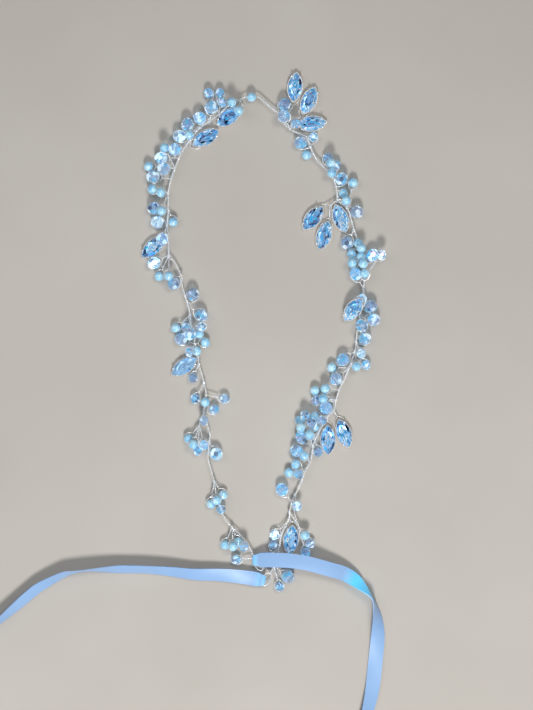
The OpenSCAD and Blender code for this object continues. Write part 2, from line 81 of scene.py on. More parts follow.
# Route of the left half of the stem, from its end loop to the top: x, y and height in millimetres.
LEFT = (
    (-4, -112.5, 3), (-9.5, -103, 3), (-15.5, -97, 3), (-20, -91.5, 3), (-23, -82, 3), (-24.5, -74, 3),
    (-26, -68.5, 3), (-27.5, -62, 3), (-27, -54.5, 3), (-26.5, -51, 3), (-28, -45.5, 3), (-29.5, -40, 3),
    (-28.5, -31, 3), (-29.5, -25, 3), (-32, -15.5, 3), (-32.5, -12, 3), (-34, -5.5, 3), (-35.5, 2, 3),
    (-36.5, 9, 3), (-37.5, 13.5, 3), (-39, 18.5, 3), (-40.5, 24, 3), (-41, 29, 3), (-44.5, 35.5, 3),
    (-47, 39, 3), (-47.5, 48.5, 3), (-48, 54, 3), (-47.5, 62, 3), (-47.5, 70, 3), (-46, 77, 3),
    (-44, 82.5, 3), (-42, 87.5, 3), (-40, 91.5, 3), (-36.5, 96.5, 3), (-31.5, 102.5, 3), (-26.5, 106, 3),
    (-22, 109.5, 3), (-17, 114, 3), (-11.5, 116.5, 3), (-9, 117.9, 3), (-6, 117.9, 3),
)
# Route of the right half, from the top to its end loop.
RIGHT = (
    (-5.5, 117.9, 3), (-2.2, 117.9, 3), (3.5, 113, 3), (8, 109.5, 3), (10, 105.5, 3), (13.5, 102, 3),
    (18.5, 99.5, 3), (22, 97.5, 3), (23.8, 93, 3), (26.5, 87, 3), (30, 83.5, 3), (33, 80.5, 3),
    (35, 77.5, 3), (36.5, 73, 3), (37.5, 66.5, 3), (42, 62.5, 3), (44, 57, 3), (45.5, 51.5, 3),
    (47, 47.5, 3), (48.5, 41, 3), (50, 33, 3), (50.5, 28, 3), (50.3, 22, 3), (49, 13, 3), (48.3, 8, 3),
    (47, 1, 3), (46.5, -4.5, 3), (46, -9, 3), (43, -17.5, 3), (40.5, -23.5, 3), (38, -28.5, 3),
    (36.5, -33.5, 3), (35.3, -39, 3), (32.5, -41.5, 3), (29, -47.5, 3), (26, -53.5, 3), (25, -57, 3),
    (23.5, -64.5, 3), (21, -69, 3), (19.5, -73.5, 3), (16, -81, 3), (14.3, -84.5, 3), (13.2, -89.8, 3),
    (12.8, -93.5, 3), (9.3, -100.5, 3), (8, -107.5, 3), (5.5, -116.5, 3), (3.5, -120, 3),
)
# Side branches.
LEFT_TWIG = (
    (-29.5, -40, 3), (-31, -43.5, 3), (-31.8, -46, 3),
)
RIGHT_TWIG = (
    (37.5, 66.5, 3), (33.5, 63.8, 3),
)
# Routes of the ribbons: x, y, height of the middle and turn on edge in degrees.
RIBBON_RIGHT = (
    (-2.5, -113.5, 3.8, 0), (5, -113.2, 6.4, 0), (13.5, -113.5, 7.5, 0), (23, -115, 7.5, 0),
    (33.5, -118, 6, 0), (40, -120, 5, 12), (46, -123.5, 4.6, 32), (51, -128, 4.4, 66),
    (54.6, -132.4, 4.2, 84), (56.2, -137.5, 3.9, 68), (57.1, -142.5, 3.4, 50), (57.4, -148, 2.5, 30),
    (57.3, -154, 1.4, 12), (56, -167.5, 1, 0), (54.6, -179, 1.6, 14), (52.5, -188.5, 2.5, 32),
    (51, -194, 2.8, 38),
)
RIBBON_LEFT = (
    (-1.5, -123.5, 3, 0), (-9, -122.2, 2.6, 12), (-21.5, -121, 2.6, 26), (-34, -120.7, 2.8, 35),
    (-45, -119.4, 3.1, 45), (-56.5, -118.4, 3.3, 53), (-66.5, -118.1, 3.3, 53), (-72.5, -118.1, 3.4, 54),
    (-81.5, -118.4, 3.8, 69), (-89.5, -118.8, 4.1, 82), (-95, -119.7, 4, 76), (-100, -120.9, 3.7, 65),
    (-111.5, -126.9, 3.2, 49), (-116.5, -130.7, 3.1, 48), (-121.5, -135, 3.2, 49),
    (-131.5, -143.7, 3.7, 65), (-135.5, -147.3, 3.8, 67),
)
# Beads: x, y, height, kind and the route point that the stalk leaves from (from 100 on the side branch).
LEFT_BEADS = (
    (-19, -106, 2.4, "O", 2), (-15, -106.5, 6.2, "O", 2), (-12.5, -104.5, 2.4, "O", 2),
    (-9.5, -106.5, 6.8, "K", 1), (-13.5, -113.5, 2.4, "K", 0), (-20, -81, 2.4, "O", 5),
    (-23, -83.5, 6, "O", 5), (-26, -85.5, 2.4, "O", 5), (-23.3, -60.5, 3.2, "C", 8),
    (-29.5, -43.7, 6.3, "K", 11), (-37.3, -52.8, 2.4, "O", 102), (-34.8, -55.6, 5.6, "O", 102),
    (-32.7, -58.9, 2.4, "K", 102), (-29.5, -56, 5.6, "K", 102), (-19, -33, 2.4, "K", 12),
    (-24.3, -38.3, 2.4, "K", 11), (-34, -33, 2.4, "K", 13), (-35, -22.6, 2.4, "K", 14),
    (-36.5, -9.5, 6.8, "K", 16), (-28.8, -4.7, 2.4, "O", 16), (-43.7, 2.5, 2.4, "O", 18),
    (-38.6, 2.9, 2.4, "K", 18), (-41, -3, 3.2, "C", 16), (-36.5, -0.5, 7.4, "C", 18),
    (-31.9, -0.5, 2.4, "O", 17), (-30.5, 3, 6.2, "K", 17), (-30.8, 8.8, 3.2, "C", 19),
    (-35, 19.3, 3.2, "C", 19), (-44.7, 24.5, 3.2, "C", 22), (-47, 28.3, 6.9, "O", 24),
    (-52, 28.3, 2.4, "O", 24), (-54.5, 35, 3.2, "C", 24), (-50.3, 46.5, 7.8, "C", 26),
    (-44.9, 55.5, 2.4, "O", 27), (-52.8, 55.5, 3.2, "C", 26), (-50.6, 60.8, 7.2, "O", 28),
    (-54.6, 62.3, 3.2, "C", 27), (-51, 70, 6.2, "O", 28), (-55.5, 72, 2.4, "O", 28),
    (-55, 78, 3.2, "C", 29), (-57.3, 83.3, 2.4, "O", 30), (-49.5, 81.8, 7.2, "C", 30),
    (-51, 87.5, 3.2, "C", 31), (-49.1, 92.3, 6.6, "O", 30), (-44.3, 91.8, 3.2, "C", 32),
    (-41.8, 98.4, 3.2, "C", 33), (-36.8, 98.8, 6.2, "O", 34), (-37.8, 104.4, 3.2, "C", 33),
    (-31.7, 107.5, 3.2, "C", 35), (-27.2, 120.1, 2.4, "K", 36), (-21.5, 120.1, 2.4, "K", 36),
    (-20.5, 115, 6, "K", 37), (-25.8, 112.5, 6.9, "C", 35), (-15.5, 115, 6.4, "O", 38),
    (-12.1, 110.6, 7.2, "O", 38),
)
RIGHT_BEADS = (
    (10.7, 114.2, 3.2, "C", 3), (10.5, 108, 7.1, "C", 5), (16.2, 104.3, 7, "K", 5), (18.7, 95, 3.2, "C", 8),
    (25.2, 98, 2.4, "K", 8), (21.8, 89, 2.4, "O", 8), (32.5, 87.7, 2.4, "K", 10), (36.5, 84, 2.4, "K", 11),
    (33.8, 84.7, 7.3, "O", 11), (34.3, 79.8, 6.6, "O", 12), (39.3, 77, 3.2, "C", 13),
    (45.2, 75.2, 2.4, "O", 15), (40.2, 70, 2.4, "O", 14), (41.5, 66, 6.1, "O", 15),
    (47, 60.5, 3.2, "C", 15), (41.9, 45, 3.2, "C", 17), (49, 42.3, 6.9, "O", 19),
    (44.3, 39.5, 2.4, "O", 19), (54.7, 38.9, 3.2, "C", 20), (59, 38.8, 7.1, "K", 21),
    (44.5, 34.9, 5.8, "O", 20), (50, 34.5, 6.3, "O", 20), (46.3, 29.5, 3.2, "C", 22),
    (50.8, 29.6, 6.2, "O", 22), (53.8, 13.3, 3.2, "C", 23), (55.3, 6.7, 3.2, "C", 24),
    (49.3, 3.5, 7.1, "C", 24), (50.9, -2.9, 3.2, "C", 26), (49, -10.3, 6, "K", 26),
    (39.9, -13.4, 3.2, "C", 27), (34.3, -17.2, 2.4, "O", 28), (46.6, -16.7, 6, "O", 27),
    (51.5, -16, 2.4, "K", 27), (36.5, -23, 3.2, "C", 28), (31, -27.8, 5.6, "O", 30),
    (26, -28.7, 2.4, "O", 31), (26.6, -33.8, 2.4, "K", 31), (30, -32.8, 6.2, "O", 31),
    (31.4, -37.5, 3.2, "C", 31), (29.3, -43.7, 6.2, "K", 33), (25.7, -41.8, 2.4, "O", 33),
    (20.9, -41, 5.6, "K", 35), (18.3, -43.5, 2.4, "O", 35), (25.8, -47, 2.4, "O", 35),
    (24.3, -44.6, 7, "K", 35), (18.8, -47.2, 6.6, "O", 35), (19.2, -52, 3.2, "C", 36),
    (23.2, -50.8, 7.5, "O", 36), (16.8, -59, 3.2, "C", 37), (20.5, -61.2, 6.9, "O", 37),
    (27.6, -59.6, 2.4, "K", 35), (16.2, -65.4, 5.8, "O", 38), (13, -69.8, 2.4, "O", 38),
    (17.7, -70.3, 5.6, "K", 39), (9.5, -78.3, 3.2, "C", 41), (17, -86.4, 6.2, "K", 40),
    (5.8, -101, 2.4, "K", 43), (5.2, -106, 2.4, "K", 46), (21, -101, 5.8, "O", 42),
    (23.6, -105.4, 2.4, "K", 42), (21.4, -109.9, 2.4, "K", 41), (12.6, -121.9, 3.2, "C", 46),
    (8.3, -127, 2.4, "K", 46),
)
# Beads threaded on the stem: place along the route and kind.
LEFT_THREADED = (
    (3.35, "K"), (11.6, "O"), (15.45, "O"),
)
RIGHT_THREADED = (
    (18.4, "O"), (19.35, "O"), (22.5, "K"),
)
# Stones: x, y, height of the setting's base, turn, tilt, roll and the stalk's route point.
LEFT_STONES = (
    (-17, 108.3, 0.1, 217, 0, 0, 38), (-28.7, 97.7, 0.1, 30, 0, 0, 33), (-55, 43, 0.1, 222, 0, 0, 25),
    (-39.5, -16.7, 0.1, 213.7, 0, 0, 15),
)
RIGHT_STONES = (
    (16, 123, 0.1, 84, 0, 0, 4), (23, 116.3, 0.1, 65.7, 0, 0, 4), (24.5, 104.8, 0.1, 6, 0, 0, 5),
    (25, 57.5, 0.1, 229.8, 0, 0, 101), (30.5, 48.8, 0.1, 252.6, 0, 0, 101),
    (38.8, 57.3, 0.1, 290.1, 0, 0, 14), (45.5, 12.2, 3.9, 232, -22, 0, 22),
    (32.5, -53.5, 0.1, 271, 0, 0, 33), (40.5, -50.3, 0.1, 289.5, 0, 0, 32),
    (14, -103.5, 0.1, 263.4, 0, 0, 43),
)
# Real lengths of the ribbons in metres, and the places where their painted sheen is strongest.
RIGHT_RIBBON_LENGTH = 0.13
LEFT_RIBBON_LENGTH = 0.145
RIGHT_PAINTED_GLEAM = (49, -126, 4.5)
LEFT_PAINTED_GLEAM = (6, -125, 3)
# Tones of the facets of the clear beads, of the one stone painted paler all over as a painted glare, and of
# the other stones.
# Clear beads: their own pale violet and cyan colours, with the darkest tone as a painted dark reflection and
# the near-white one as a painted highlight.
CRYSTAL_TINTS_AND_PAINTED_REFLECTIONS = (
    (0.0, (0.22, 0.32, 0.50, 1)), (0.06, (0.58, 0.72, 0.92, 1)), (0.35, (0.72, 0.85, 0.97, 1)),
    (0.6, (0.82, 0.92, 1.0, 1)), (0.8, (0.42, 0.78, 1.0, 1)), (1.0, (0.92, 0.98, 1.0, 1)),
)
PAINTED_GLARE_STONE = ("left", 4)
PAINTED_GLARE_STOPS = (
    (0.0, (0.20, 0.44, 0.76, 1)), (0.3, (0.30, 0.54, 0.82, 1)), (0.55, (0.36, 0.60, 0.88, 1)),
    (0.8, (0.70, 0.86, 0.98, 1)),
)
# Navettes: their own blues, with black, navy and near-white tones as painted dark reflections and painted
# highlights.
NAVETTE_TINTS_AND_PAINTED_REFLECTIONS = (
    (0.0, (0.0, 0.01, 0.03, 1)), (0.25, (0.02, 0.05, 0.14, 1)), (0.29, (0.08, 0.26, 0.62, 1)),
    (0.35, (0.40, 0.44, 0.58, 1)), (0.38, (0.22, 0.46, 0.84, 1)), (0.47, (0.05, 0.50, 0.98, 1)),
    (0.57, (0.90, 0.98, 1.0, 1)), (0.65, (0.16, 0.54, 0.96, 1)), (0.72, (0.36, 0.60, 0.92, 1)),
)


class Kind(Enum):
    """The three kinds of bead."""

    CRYSTAL = "C"
    SMALL = "K"
    OPAL = "O"


@dataclass(frozen=True)
class BeadSizes:
    """Sizes of the beads, in millimetres."""

    crystal: float = 3.2
    small: float = 2.4
    opal: float = 2.35
    bore: float = 0.4
    stem_bore: float = 0.7
    end_angle: float = math.radians(66)
    cut_share: float = 0.96
    roll: float = 12.0

    def radius(self, kind: Kind) -> float:
        """Radius of a kind of bead."""
        return {Kind.CRYSTAL: self.crystal, Kind.SMALL: self.small, Kind.OPAL: self.opal}[kind]

    def half_length(self, kind: Kind) -> float:
        """Half the length of a kind of bead along its bore."""
        return self.radius(kind) * (1 if kind is Kind.OPAL else math.sin(self.end_angle))


BEADS = BeadSizes()


def place(point: Sequence[float]) -> Vector:
    """Moves a point of a chart to its place on the vine.

    Args:
        point: x, y and height on the chart, in millimetres.

    Returns:
        The place in metres.
    """
    return (Vector(point[:3]) + PLAN_SHIFT) * MM


def side_of(ahead: Vector) -> Vector:
    """Level direction to the right of a heading."""
    return ahead.cross(UP).normalized()


def smooth(points: Sequence[Vector], step: float) -> list[Vector]:
    """Draws a smooth line through points.

    Args:
        points: The points of two, three or four numbers.
        step: Distance between the points of the line, in metres.

    Returns:
        Points of the line, at nearly even distances.
    """
    line: list[Vector] = []
    last = len(points) - 1
    for i in range(last):
        a, b = points[i], points[i + 1]
        before = points[i - 1] if i else a * 2 - b
        after = points[i + 2] if i + 2 <= last else b * 2 - a
        count = max(1, round((b.to_3d() - a.to_3d()).length / step))
        for k in range(count):
            t = k / count
            line.append(
                (a * 2 + (b - before) * t + (before * 2 - a * 5 + b * 4 - after) * t * t
                 + (a * 3 - before - b * 3 + after) * t * t * t) * 0.5
            )
    return line + [points[last].copy()]


def headings(line: Sequence[Vector]) -> list[Vector]:
    """Directions of a line at its points."""
    last = len(line) - 1
    return [(line[min(i + 1, last)] - line[max(i - 1, 0)]).to_3d().normalized() for i in range(last + 1)]


def deselect() -> None:
    """Leaves no object selected."""
    if bpy.context.object and bpy.context.object.mode != "OBJECT":
        bpy.ops.object.mode_set(mode="OBJECT")
    bpy.ops.object.select_all(action="DESELECT")


def active() -> bpy.types.Object:
    """The object that an operator has just made."""
    return bpy.context.view_layer.objects.active


def join(pieces: Sequence[bpy.types.Object], name: str) -> bpy.types.Object:
    """Joins objects into one piece.

    Args:
        pieces: The objects.
        name: Name of the piece.

    Returns:
        The piece, at the origin.
    """
    deselect()
    for piece in pieces:
        piece.select_set(True)
    bpy.context.view_layer.objects.active = pieces[0]
    if len(pieces) > 1:
        bpy.ops.object.join()
    bpy.ops.object.transform_apply(location=True, rotation=True, scale=True)
    piece = active()
    piece.name = piece.data.name = name
    return piece


def copied(pattern: bpy.types.Object, matrix: Matrix) -> bpy.types.Object:
    """Copies a pattern with its own mesh.

    Args:
        pattern: The pattern, in millimetres.
        matrix: Matrix from the pattern to the vine, in metres.

    Returns:
        The copy.
    """
    copy = pattern.copy()
    copy.data = pattern.data.copy()
    copy.data.transform(matrix)
    bpy.context.collection.objects.link(copy)
    return copy


def shade_round() -> None:
    """Smooths the selected piece apart from its sharp edges."""
    bpy.ops.object.shade_smooth()
    bpy.ops.object.shade_smooth_by_angle(angle=SHARP_EDGE)


def tone_facets(mesh: bpy.types.Mesh, chance: random.Random, tone: float | None = None) -> None:
    """Gives each facet a tone from 0 to 1.

    Args:
        mesh: The cut piece.
        chance: Source of the tones.
        tone: One tone for all facets.
    """
    for item in mesh.attributes.new("facet", "FLOAT", "FACE").data:
        item.value = chance.random() if tone is None else tone


def dress(piece: bpy.types.Object, material: bpy.types.Material) -> None:
    """Gives all of a piece one material."""
    piece.data.materials.clear()
    piece.data.materials.append(material)


def declare(piece: bpy.types.Object, node: str = "") -> None:
    """Puts a piece on the root body.

    Args:
        piece: The piece.
        node: Solid that it stands for.
    """
    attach(piece, "root")
    if node:
        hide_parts(node)


@dataclass(frozen=True)
class Value:
    """A number or a colour in a material, with operators that add its Math nodes."""

    graph: "Graph"
    socket: bpy.types.NodeSocket

    def _math(self, operation: str, first: "Value | float", second: "Value | float") -> "Value":
        """Adds a Math node for two values."""
        return self.graph.node("ShaderNodeMath", {"operation": operation}, {0: first, 1: second})

    def __add__(self, other: "Value | float") -> "Value":
        """Sum."""
        return self._math("ADD", self, other)

    def __radd__(self, other: float) -> "Value":
        """Sum with a plain number first."""
        return self._math("ADD", other, self)

    def __sub__(self, other: "Value | float") -> "Value":
        """Difference."""
        return self._math("SUBTRACT", self, other)

    def __rsub__(self, other: float) -> "Value":
        """Difference from a plain number."""
        return self._math("SUBTRACT", other, self)

    def __mul__(self, other: "Value | float") -> "Value":
        """Product."""
        return self._math("MULTIPLY", self, other)

    def __rmul__(self, other: float) -> "Value":
        """Product with a plain number first."""
        return self._math("MULTIPLY", other, self)


class Graph:
    """The nodes of one material."""

    def __init__(self, name: str) -> None:
        """Makes an empty material.

        Args:
            name: Name of the material.
        """
        self.material = bpy.data.materials.new(name)
        self.material.use_nodes = True
        self.tree = self.material.node_tree
        self.tree.nodes.clear()

    def add(self, kind: str, settings: dict | None = None, inputs: dict | None = None) -> bpy.types.Node:
        """Adds a node.

        Args:
            kind: Blender's type of the node.
            settings: Its settings, and its ramp's stops under "stops", as (place, colour).
            inputs: Numbers, colours or values for its sockets, by name or number.

        Returns:
            The node.
        """
        node = self.tree.nodes.new(kind)
        for key, value in (settings or {}).items():
            if key == "stops":
                ramp = node.color_ramp
                while len(ramp.elements) < len(value):
                    ramp.elements.new(1)
                for element, (position, colour) in zip(ramp.elements, value):
                    element.position, element.color = position, colour
            elif key == "interpolation":
                node.color_ramp.interpolation = value
            else:
                setattr(node, key, value)
        for key, value in (inputs or {}).items():
            if isinstance(value, Value):
                self.tree.links.new(value.socket, node.inputs[key])
            else:
                node.inputs[key].default_value = value
        return node

    def node(self, kind: str, settings: dict | None = None, inputs: dict | None = None,
             output: int | str = 0) -> Value:
        """Adds a node and takes one of its outputs, by name or number."""
        return Value(self, self.add(kind, settings, inputs).outputs[output])

    def place(self) -> Value:
        """Place on the piece, in metres."""
        return self.node("ShaderNodeTexCoord", output="Object")

    def attribute(self, name: str) -> Value:
        """An attribute of the mesh."""
        return self.node("ShaderNodeAttribute", {"attribute_name": name}, output="Fac")

    def own_map(self, name: str) -> Value:
        """A map of the mesh."""
        return self.node("ShaderNodeUVMap", {"uv_map": name})

    def cells(self, scale: float, where: Value) -> Value:
        """Broken cells of chance colours."""
        return self.node("ShaderNodeTexVoronoi", None, {"Vector": where, "Scale": scale}, output="Color")

    def noise(self, scale: float, detail: float = 2, roughness: float = 0.5,
              where: Value | None = None) -> Value:
        """Cloudy noise from 0 to 1.

        Args:
            scale: Clouds to a metre.
            detail: Layers of finer noise.
            roughness: Strength of the finer layers.
            where: Place that it follows.

        Returns:
            The noise.
        """
        return self.node("ShaderNodeTexNoise", None,
                         {"Vector": where or self.place(), "Scale": scale, "Detail": detail,
                          "Roughness": roughness})

    def ramp(self, factor: Value, stops: Stops, hard: bool = False) -> Value:
        """Colours along a number.

        Args:
            factor: The number.
            stops: Place and colour of each stop.
            hard: Whether each colour ends sharply where the next starts.

        Returns:
            The colour.
        """
        kind = "CONSTANT" if hard else "LINEAR"
        return self.node("ShaderNodeValToRGB", {"interpolation": kind, "stops": stops}, {0: factor})

    def levels(self, factor: Value, low: float, high: float, to_low: float, to_high: float) -> Value:
        """Stretches a number to a new range.

        Args:
            factor: The number.
            low: Where its range starts.
            high: Where its range ends.
            to_low: New value at the start.
            to_high: New value at the end.

        Returns:
            The new number.
        """
        return self.node("ShaderNodeMapRange", None, {0: factor, 1: low, 2: high, 3: to_low, 4: to_high})

    def blend(self, factor: Value, first: Value | Paint, second: Value | Paint) -> Value:
        """Mixes two colours.

        Args:
            factor: Share of the second.
            first: The first colour.
            second: The second colour.

        Returns:
            The mixed colour.
        """
        return self.node("ShaderNodeMix", {"data_type": "RGBA"}, {0: factor, 6: first, 7: second}, output=2)

    def bump(self, height: Value, strength: float, distance: float) -> Value:
        """Raises a surface by a height.

        Args:
            height: The height from 0 to 1.
            strength: Strength of the relief.
            distance: Height of the relief in metres.

        Returns:
            The normal.
        """
        return self.node("ShaderNodeBump", None,
                         {"Height": height, "Strength": strength, "Distance": distance})

    def finish(self, inputs: dict) -> bpy.types.Material:
        """Ends the material in its surface shader.

        Args:
            inputs: Numbers, colours or values for the shader's sockets.

        Returns:
            The material.
        """
        shader = self.node("ShaderNodeBsdfPrincipled", None, inputs)
        self.add("ShaderNodeOutputMaterial", None, {"Surface": shader})
        return self.material


@dataclass(frozen=True)
class SilverWire:
    """Silver-plated wire, a little warm, with duller patches and drawing marks."""

    name: str
    shine: float = 0.2
    metallic: float = 0.55
    pale: Paint = (0.90, 0.93, 0.96, 1)
    warm: Paint = (0.84, 0.76, 0.64, 1)
    dull: Paint = (0.50, 0.53, 0.58, 1)
    mark_depth: float = 0.03 * MM

    def material(self) -> bpy.types.Material:
        """Builds the finish.

        Returns:
            The material.
        """
        g = Graph(self.name)
        patches = g.noise(260, 3, 0.6)
        tone = g.blend(g.levels(patches, 0.42, 0.68, 0, 0.7), self.pale, self.warm)
        worn = g.levels(g.noise(1400, 3), 0.5, 0.75, 0, 0.6)
        return g.finish({
            "Base Color": g.blend(worn, tone, self.dull),
            "Metallic": self.metallic,
            "Roughness": g.levels(patches, 0.3, 0.7, self.shine, self.shine + 0.16),
            "Normal": g.bump(g.noise(5200, 2, 0.6), 0.25, self.mark_depth),
        })


@dataclass(frozen=True)
class CutGlass:
    """Clear glass with a pale violet and cyan surface, where single facets flash like mirrors.

    The stops give each tone of facet its tint, the painted glint that it glows with and how far it is a
    mirror.
    """

    name: str
    clear: float
    # Colours of the glass, with painted reflections among them.
    tints_and_painted_reflections: Stops = CRYSTAL_TINTS_AND_PAINTED_REFLECTIONS
    painted_glints: Stops = (
        (0.0, (0.0, 0.0, 0.0, 1)), (0.1, (0.01, 0.04, 0.09, 1)), (0.55, (0.03, 0.09, 0.18, 1)),
        (0.72, (0.03, 0.34, 0.62, 1)), (0.86, (0.80, 0.95, 1.0, 1)),
    )
    mirrors: Stops = (
        (0.0, (0.5, 0.5, 0.5, 1)), (0.06, (0, 0, 0, 1)), (0.72, (0.5, 0.5, 0.5, 1)),
        (0.84, (0.1, 0.1, 0.1, 1)),
    )
    cloud: Paint = (0.45, 0.78, 1.0, 1)
    film_nanometres: float = 420.0

    def material(self) -> bpy.types.Material:
        """Builds the finish.

        Returns:
            The material.
        """
        g = Graph(self.name)
        facet = g.attribute("facet")
        clouds = g.levels(g.noise(700, 2), 0.45, 0.7, 0, 0.35)
        return g.finish({
            "Base Color": g.blend(clouds, g.ramp(facet, self.tints_and_painted_reflections), self.cloud),
            "Metallic": g.ramp(facet, self.mirrors, hard=True),
            "Roughness": g.levels(g.noise(2600, 2), 0.35, 0.75, 0.0, 0.05),
            "IOR": 1.56,
            "Transmission Weight": self.clear,
            "Coat Weight": 0.6,
            "Coat Roughness": 0.0,
            "Thin Film Thickness": self.film_nanometres,
            "Thin Film IOR": 1.9,
            # Painted glint light: most facets glow faintly blue, and a few glow bright cyan and white.
            "Emission Color": g.ramp(facet, self.painted_glints, hard=True),
            "Emission Strength": 0.5,
        })


@dataclass(frozen=True)
class OpalGlass:
    """Milky cyan glass with mint and lilac clouds, a fine crackled net of painted sparkle and a faint
    painted glow.
    """

    name: str
    clouds: Stops = (
        (0.30, (0.12, 0.32, 0.52, 1)), (0.44, (0.24, 0.52, 0.76, 1)),
        (0.56, (0.34, 0.62, 0.70, 1)), (0.68, (0.62, 0.78, 0.92, 1)),
    )
    even: Paint = (0.30, 0.62, 0.86, 1)
    painted_glint_crackle: Paint = (0.85, 0.97, 1.0, 1)

    def material(self) -> bpy.types.Material:
        """Builds the finish.

        Returns:
            The material.
        """
        g = Graph(self.name)
        cloudy = g.ramp(g.noise(330, 3, 0.6), self.clouds)
        each = g.blend(g.levels(g.attribute("facet"), 0, 1, 0, 0.35), cloudy, self.even)
        # Painted highlights: a fine net of near-white cells.
        tone = g.blend(g.levels(g.cells(1700, g.place()), 0.72, 0.9, 0, 0.5), each, self.painted_glint_crackle)
        return g.finish({
            "Base Color": tone,
            "Roughness": g.levels(g.noise(1800, 2), 0.3, 0.7, 0.1, 0.22),
            "IOR": 1.5,
            "Coat Weight": 0.9,
            "Coat Roughness": 0.04,
            # Painted glow: the bead's colour also shines faintly as light.
            "Emission Color": tone,
            "Emission Strength": 0.1,
        })


@dataclass(frozen=True)
class FoiledStone:
    """Cut stone over a mirror foil: facets and foil lights painted in as painted reflections, with a faint
    painted glow.
    """

    name: str
    tones: Stops
    stretch: tuple[float, float, float] = (0.55, 1.1, 1)

    def material(self) -> bpy.types.Material:
        """Builds the finish.

        Returns:
            The material.
        """
        g = Graph(self.name)
        plan = g.node("ShaderNodeMapping", None, {"Vector": g.own_map("cut"), "Scale": self.stretch})
        lights = g.cells(1.0, plan)
        small = g.cells(2.3, plan)
        # Painted reflections: facets and foil cells pick dark and bright tones from the stops.
        tone = g.ramp(g.attribute("facet") * 0.45 + lights * 0.38 + small * 0.2, self.tones, hard=True)
        return g.finish({
            "Base Color": tone,
            "Metallic": g.levels(lights, 0.2, 0.8, 0.85, 0.5),
            "Roughness": g.levels(g.noise(2200, 2), 0.35, 0.7, 0.04, 0.12),
            "Coat Weight": 1.0,
            "Coat Roughness": 0.0,
            # Painted glow: the painted tones also shine faintly as light.
            "Emission Color": tone,
            "Emission Strength": 0.25,
        })


@dataclass(frozen=True)
class Satin:
    """Pale blue-white satin: fine weft ribs across, floats along, a firm edge, soft creases, and a painted
    sheen that glows.
    """

    name: str
    pale: Paint = (0.26, 0.42, 0.66, 1)
    shade: Paint = (0.21, 0.36, 0.60, 1)
    # Colour of the painted sheen.
    sheen: Paint = (0.09, 0.54, 0.90, 1)
    edge: Paint = (0.30, 0.42, 0.70, 1)
    # Faint painted glow all over the ribbon.
    faint_painted_glow: Paint = (0.01, 0.02, 0.05, 1)
    edge_from: float = 3.25 * MM
    edge_to: float = 3.5 * MM
    rib_depth: float = 0.08 * MM

    @staticmethod
    def threads(g: Graph, where: Value, direction: str, scale: float, distortion: float) -> Value:
        """Threads that run one way.

        Args:
            g: The material.
            where: Place on the ribbon.
            direction: Axis that the threads are counted along.
            scale: Threads to a metre, nearly.
            distortion: How far they waver.

        Returns:
            Their height from 0 to 1.
        """
        return g.node("ShaderNodeTexWave", {"wave_type": "BANDS", "bands_direction": direction},
                      {"Vector": where, "Scale": scale, "Distortion": distortion, "Detail": 1})

    def material(self) -> bpy.types.Material:
        """Builds the finish.

        Returns:
            The material.
        """
        g = Graph(self.name)
        where = g.own_map("ribbon")
        across = g.node("ShaderNodeSeparateXYZ", None, {0: where}, output="X")
        ribs = self.threads(g, where, "Y", 700, 0.6)
        floats = self.threads(g, where, "X", 900, 1.2)
        cloud = g.noise(45, 3, 0.55, where)
        from_middle = g.node("ShaderNodeMath", {"operation": "ABSOLUTE"}, {0: across})
        edge = g.levels(from_middle, self.edge_from, self.edge_to, 0, 1)
        # Painted sheen: where the ribbon gleams, its colour turns bright cyan.
        gleam = g.attribute("gleam")
        cloth = g.blend(g.levels(cloud, 0.35, 0.7, 0, 0.6), self.pale, self.shade)
        bright = g.blend(g.levels(gleam, 0.15, 0.8, 0, 0.9), cloth, self.sheen)
        return g.finish({
            "Base Color": g.blend(edge * 0.35, bright, self.edge),
            "Roughness": g.levels(cloud, 0.3, 0.7, 0.34, 0.5) - edge * 0.05,
            "Sheen Weight": 0.35,
            "Sheen Roughness": 0.4,
            "Sheen Tint": (0.8, 0.9, 1.0, 1),
            "Anisotropic": 0.4,
            "Normal": g.bump(ribs * 0.5 + floats * 0.3 + edge * 0.8, 0.35, self.rib_depth),
            # Painted glow: faint all over, bright where the sheen is painted.
            "Emission Color": g.blend(g.levels(gleam, 0.15, 0.9, 0, 1), self.faint_painted_glow, self.sheen),
            "Emission Strength": 0.5,
        })


@dataclass(frozen=True)
class PaleFloor:
    """Plain pale table top."""

    name: str = "pale_floor"
    tones: Stops = ((0.3, (0.43, 0.395, 0.35, 1)), (0.7, (0.47, 0.435, 0.39, 1)))

    def material(self) -> bpy.types.Material:
        """Builds the finish."""
        g = Graph(self.name)
        return g.finish({"Base Color": g.ramp(g.noise(9, 3), self.tones), "Roughness": 0.85})


@dataclass
class Strand:
    """A run of wire: its points in metres, and its radius in metres."""

    points: list[Vector]
    radius: float
    closed: bool = False


def draw_wires(strands: Sequence[Strand]) -> bpy.types.Object:
    """Draws wires as one bevelled curve and makes it a mesh.

    Args:
        strands: The wires.

    Returns:
        The mesh object.
    """
    deselect()
    bpy.ops.curve.primitive_nurbs_path_add(location=(0, 0, 0))
    curve = active().data
    curve.splines.clear()
    curve.dimensions = "3D"
    curve.bevel_depth = 1.0
    curve.bevel_resolution = WIRE_ROUNDNESS
    curve.use_fill_caps = True
    for strand in strands:
        spline = curve.splines.new("POLY")
        spline.points.add(len(strand.points) - 1)
        spline.points.foreach_set("co", [number for p in strand.points for number in (*p, 1.0)])
        spline.points.foreach_set("radius", [strand.radius] * len(strand.points))
        spline.use_cyclic_u = strand.closed
    bpy.ops.object.convert(target="MESH")
    bpy.ops.object.shade_smooth()
    return active()


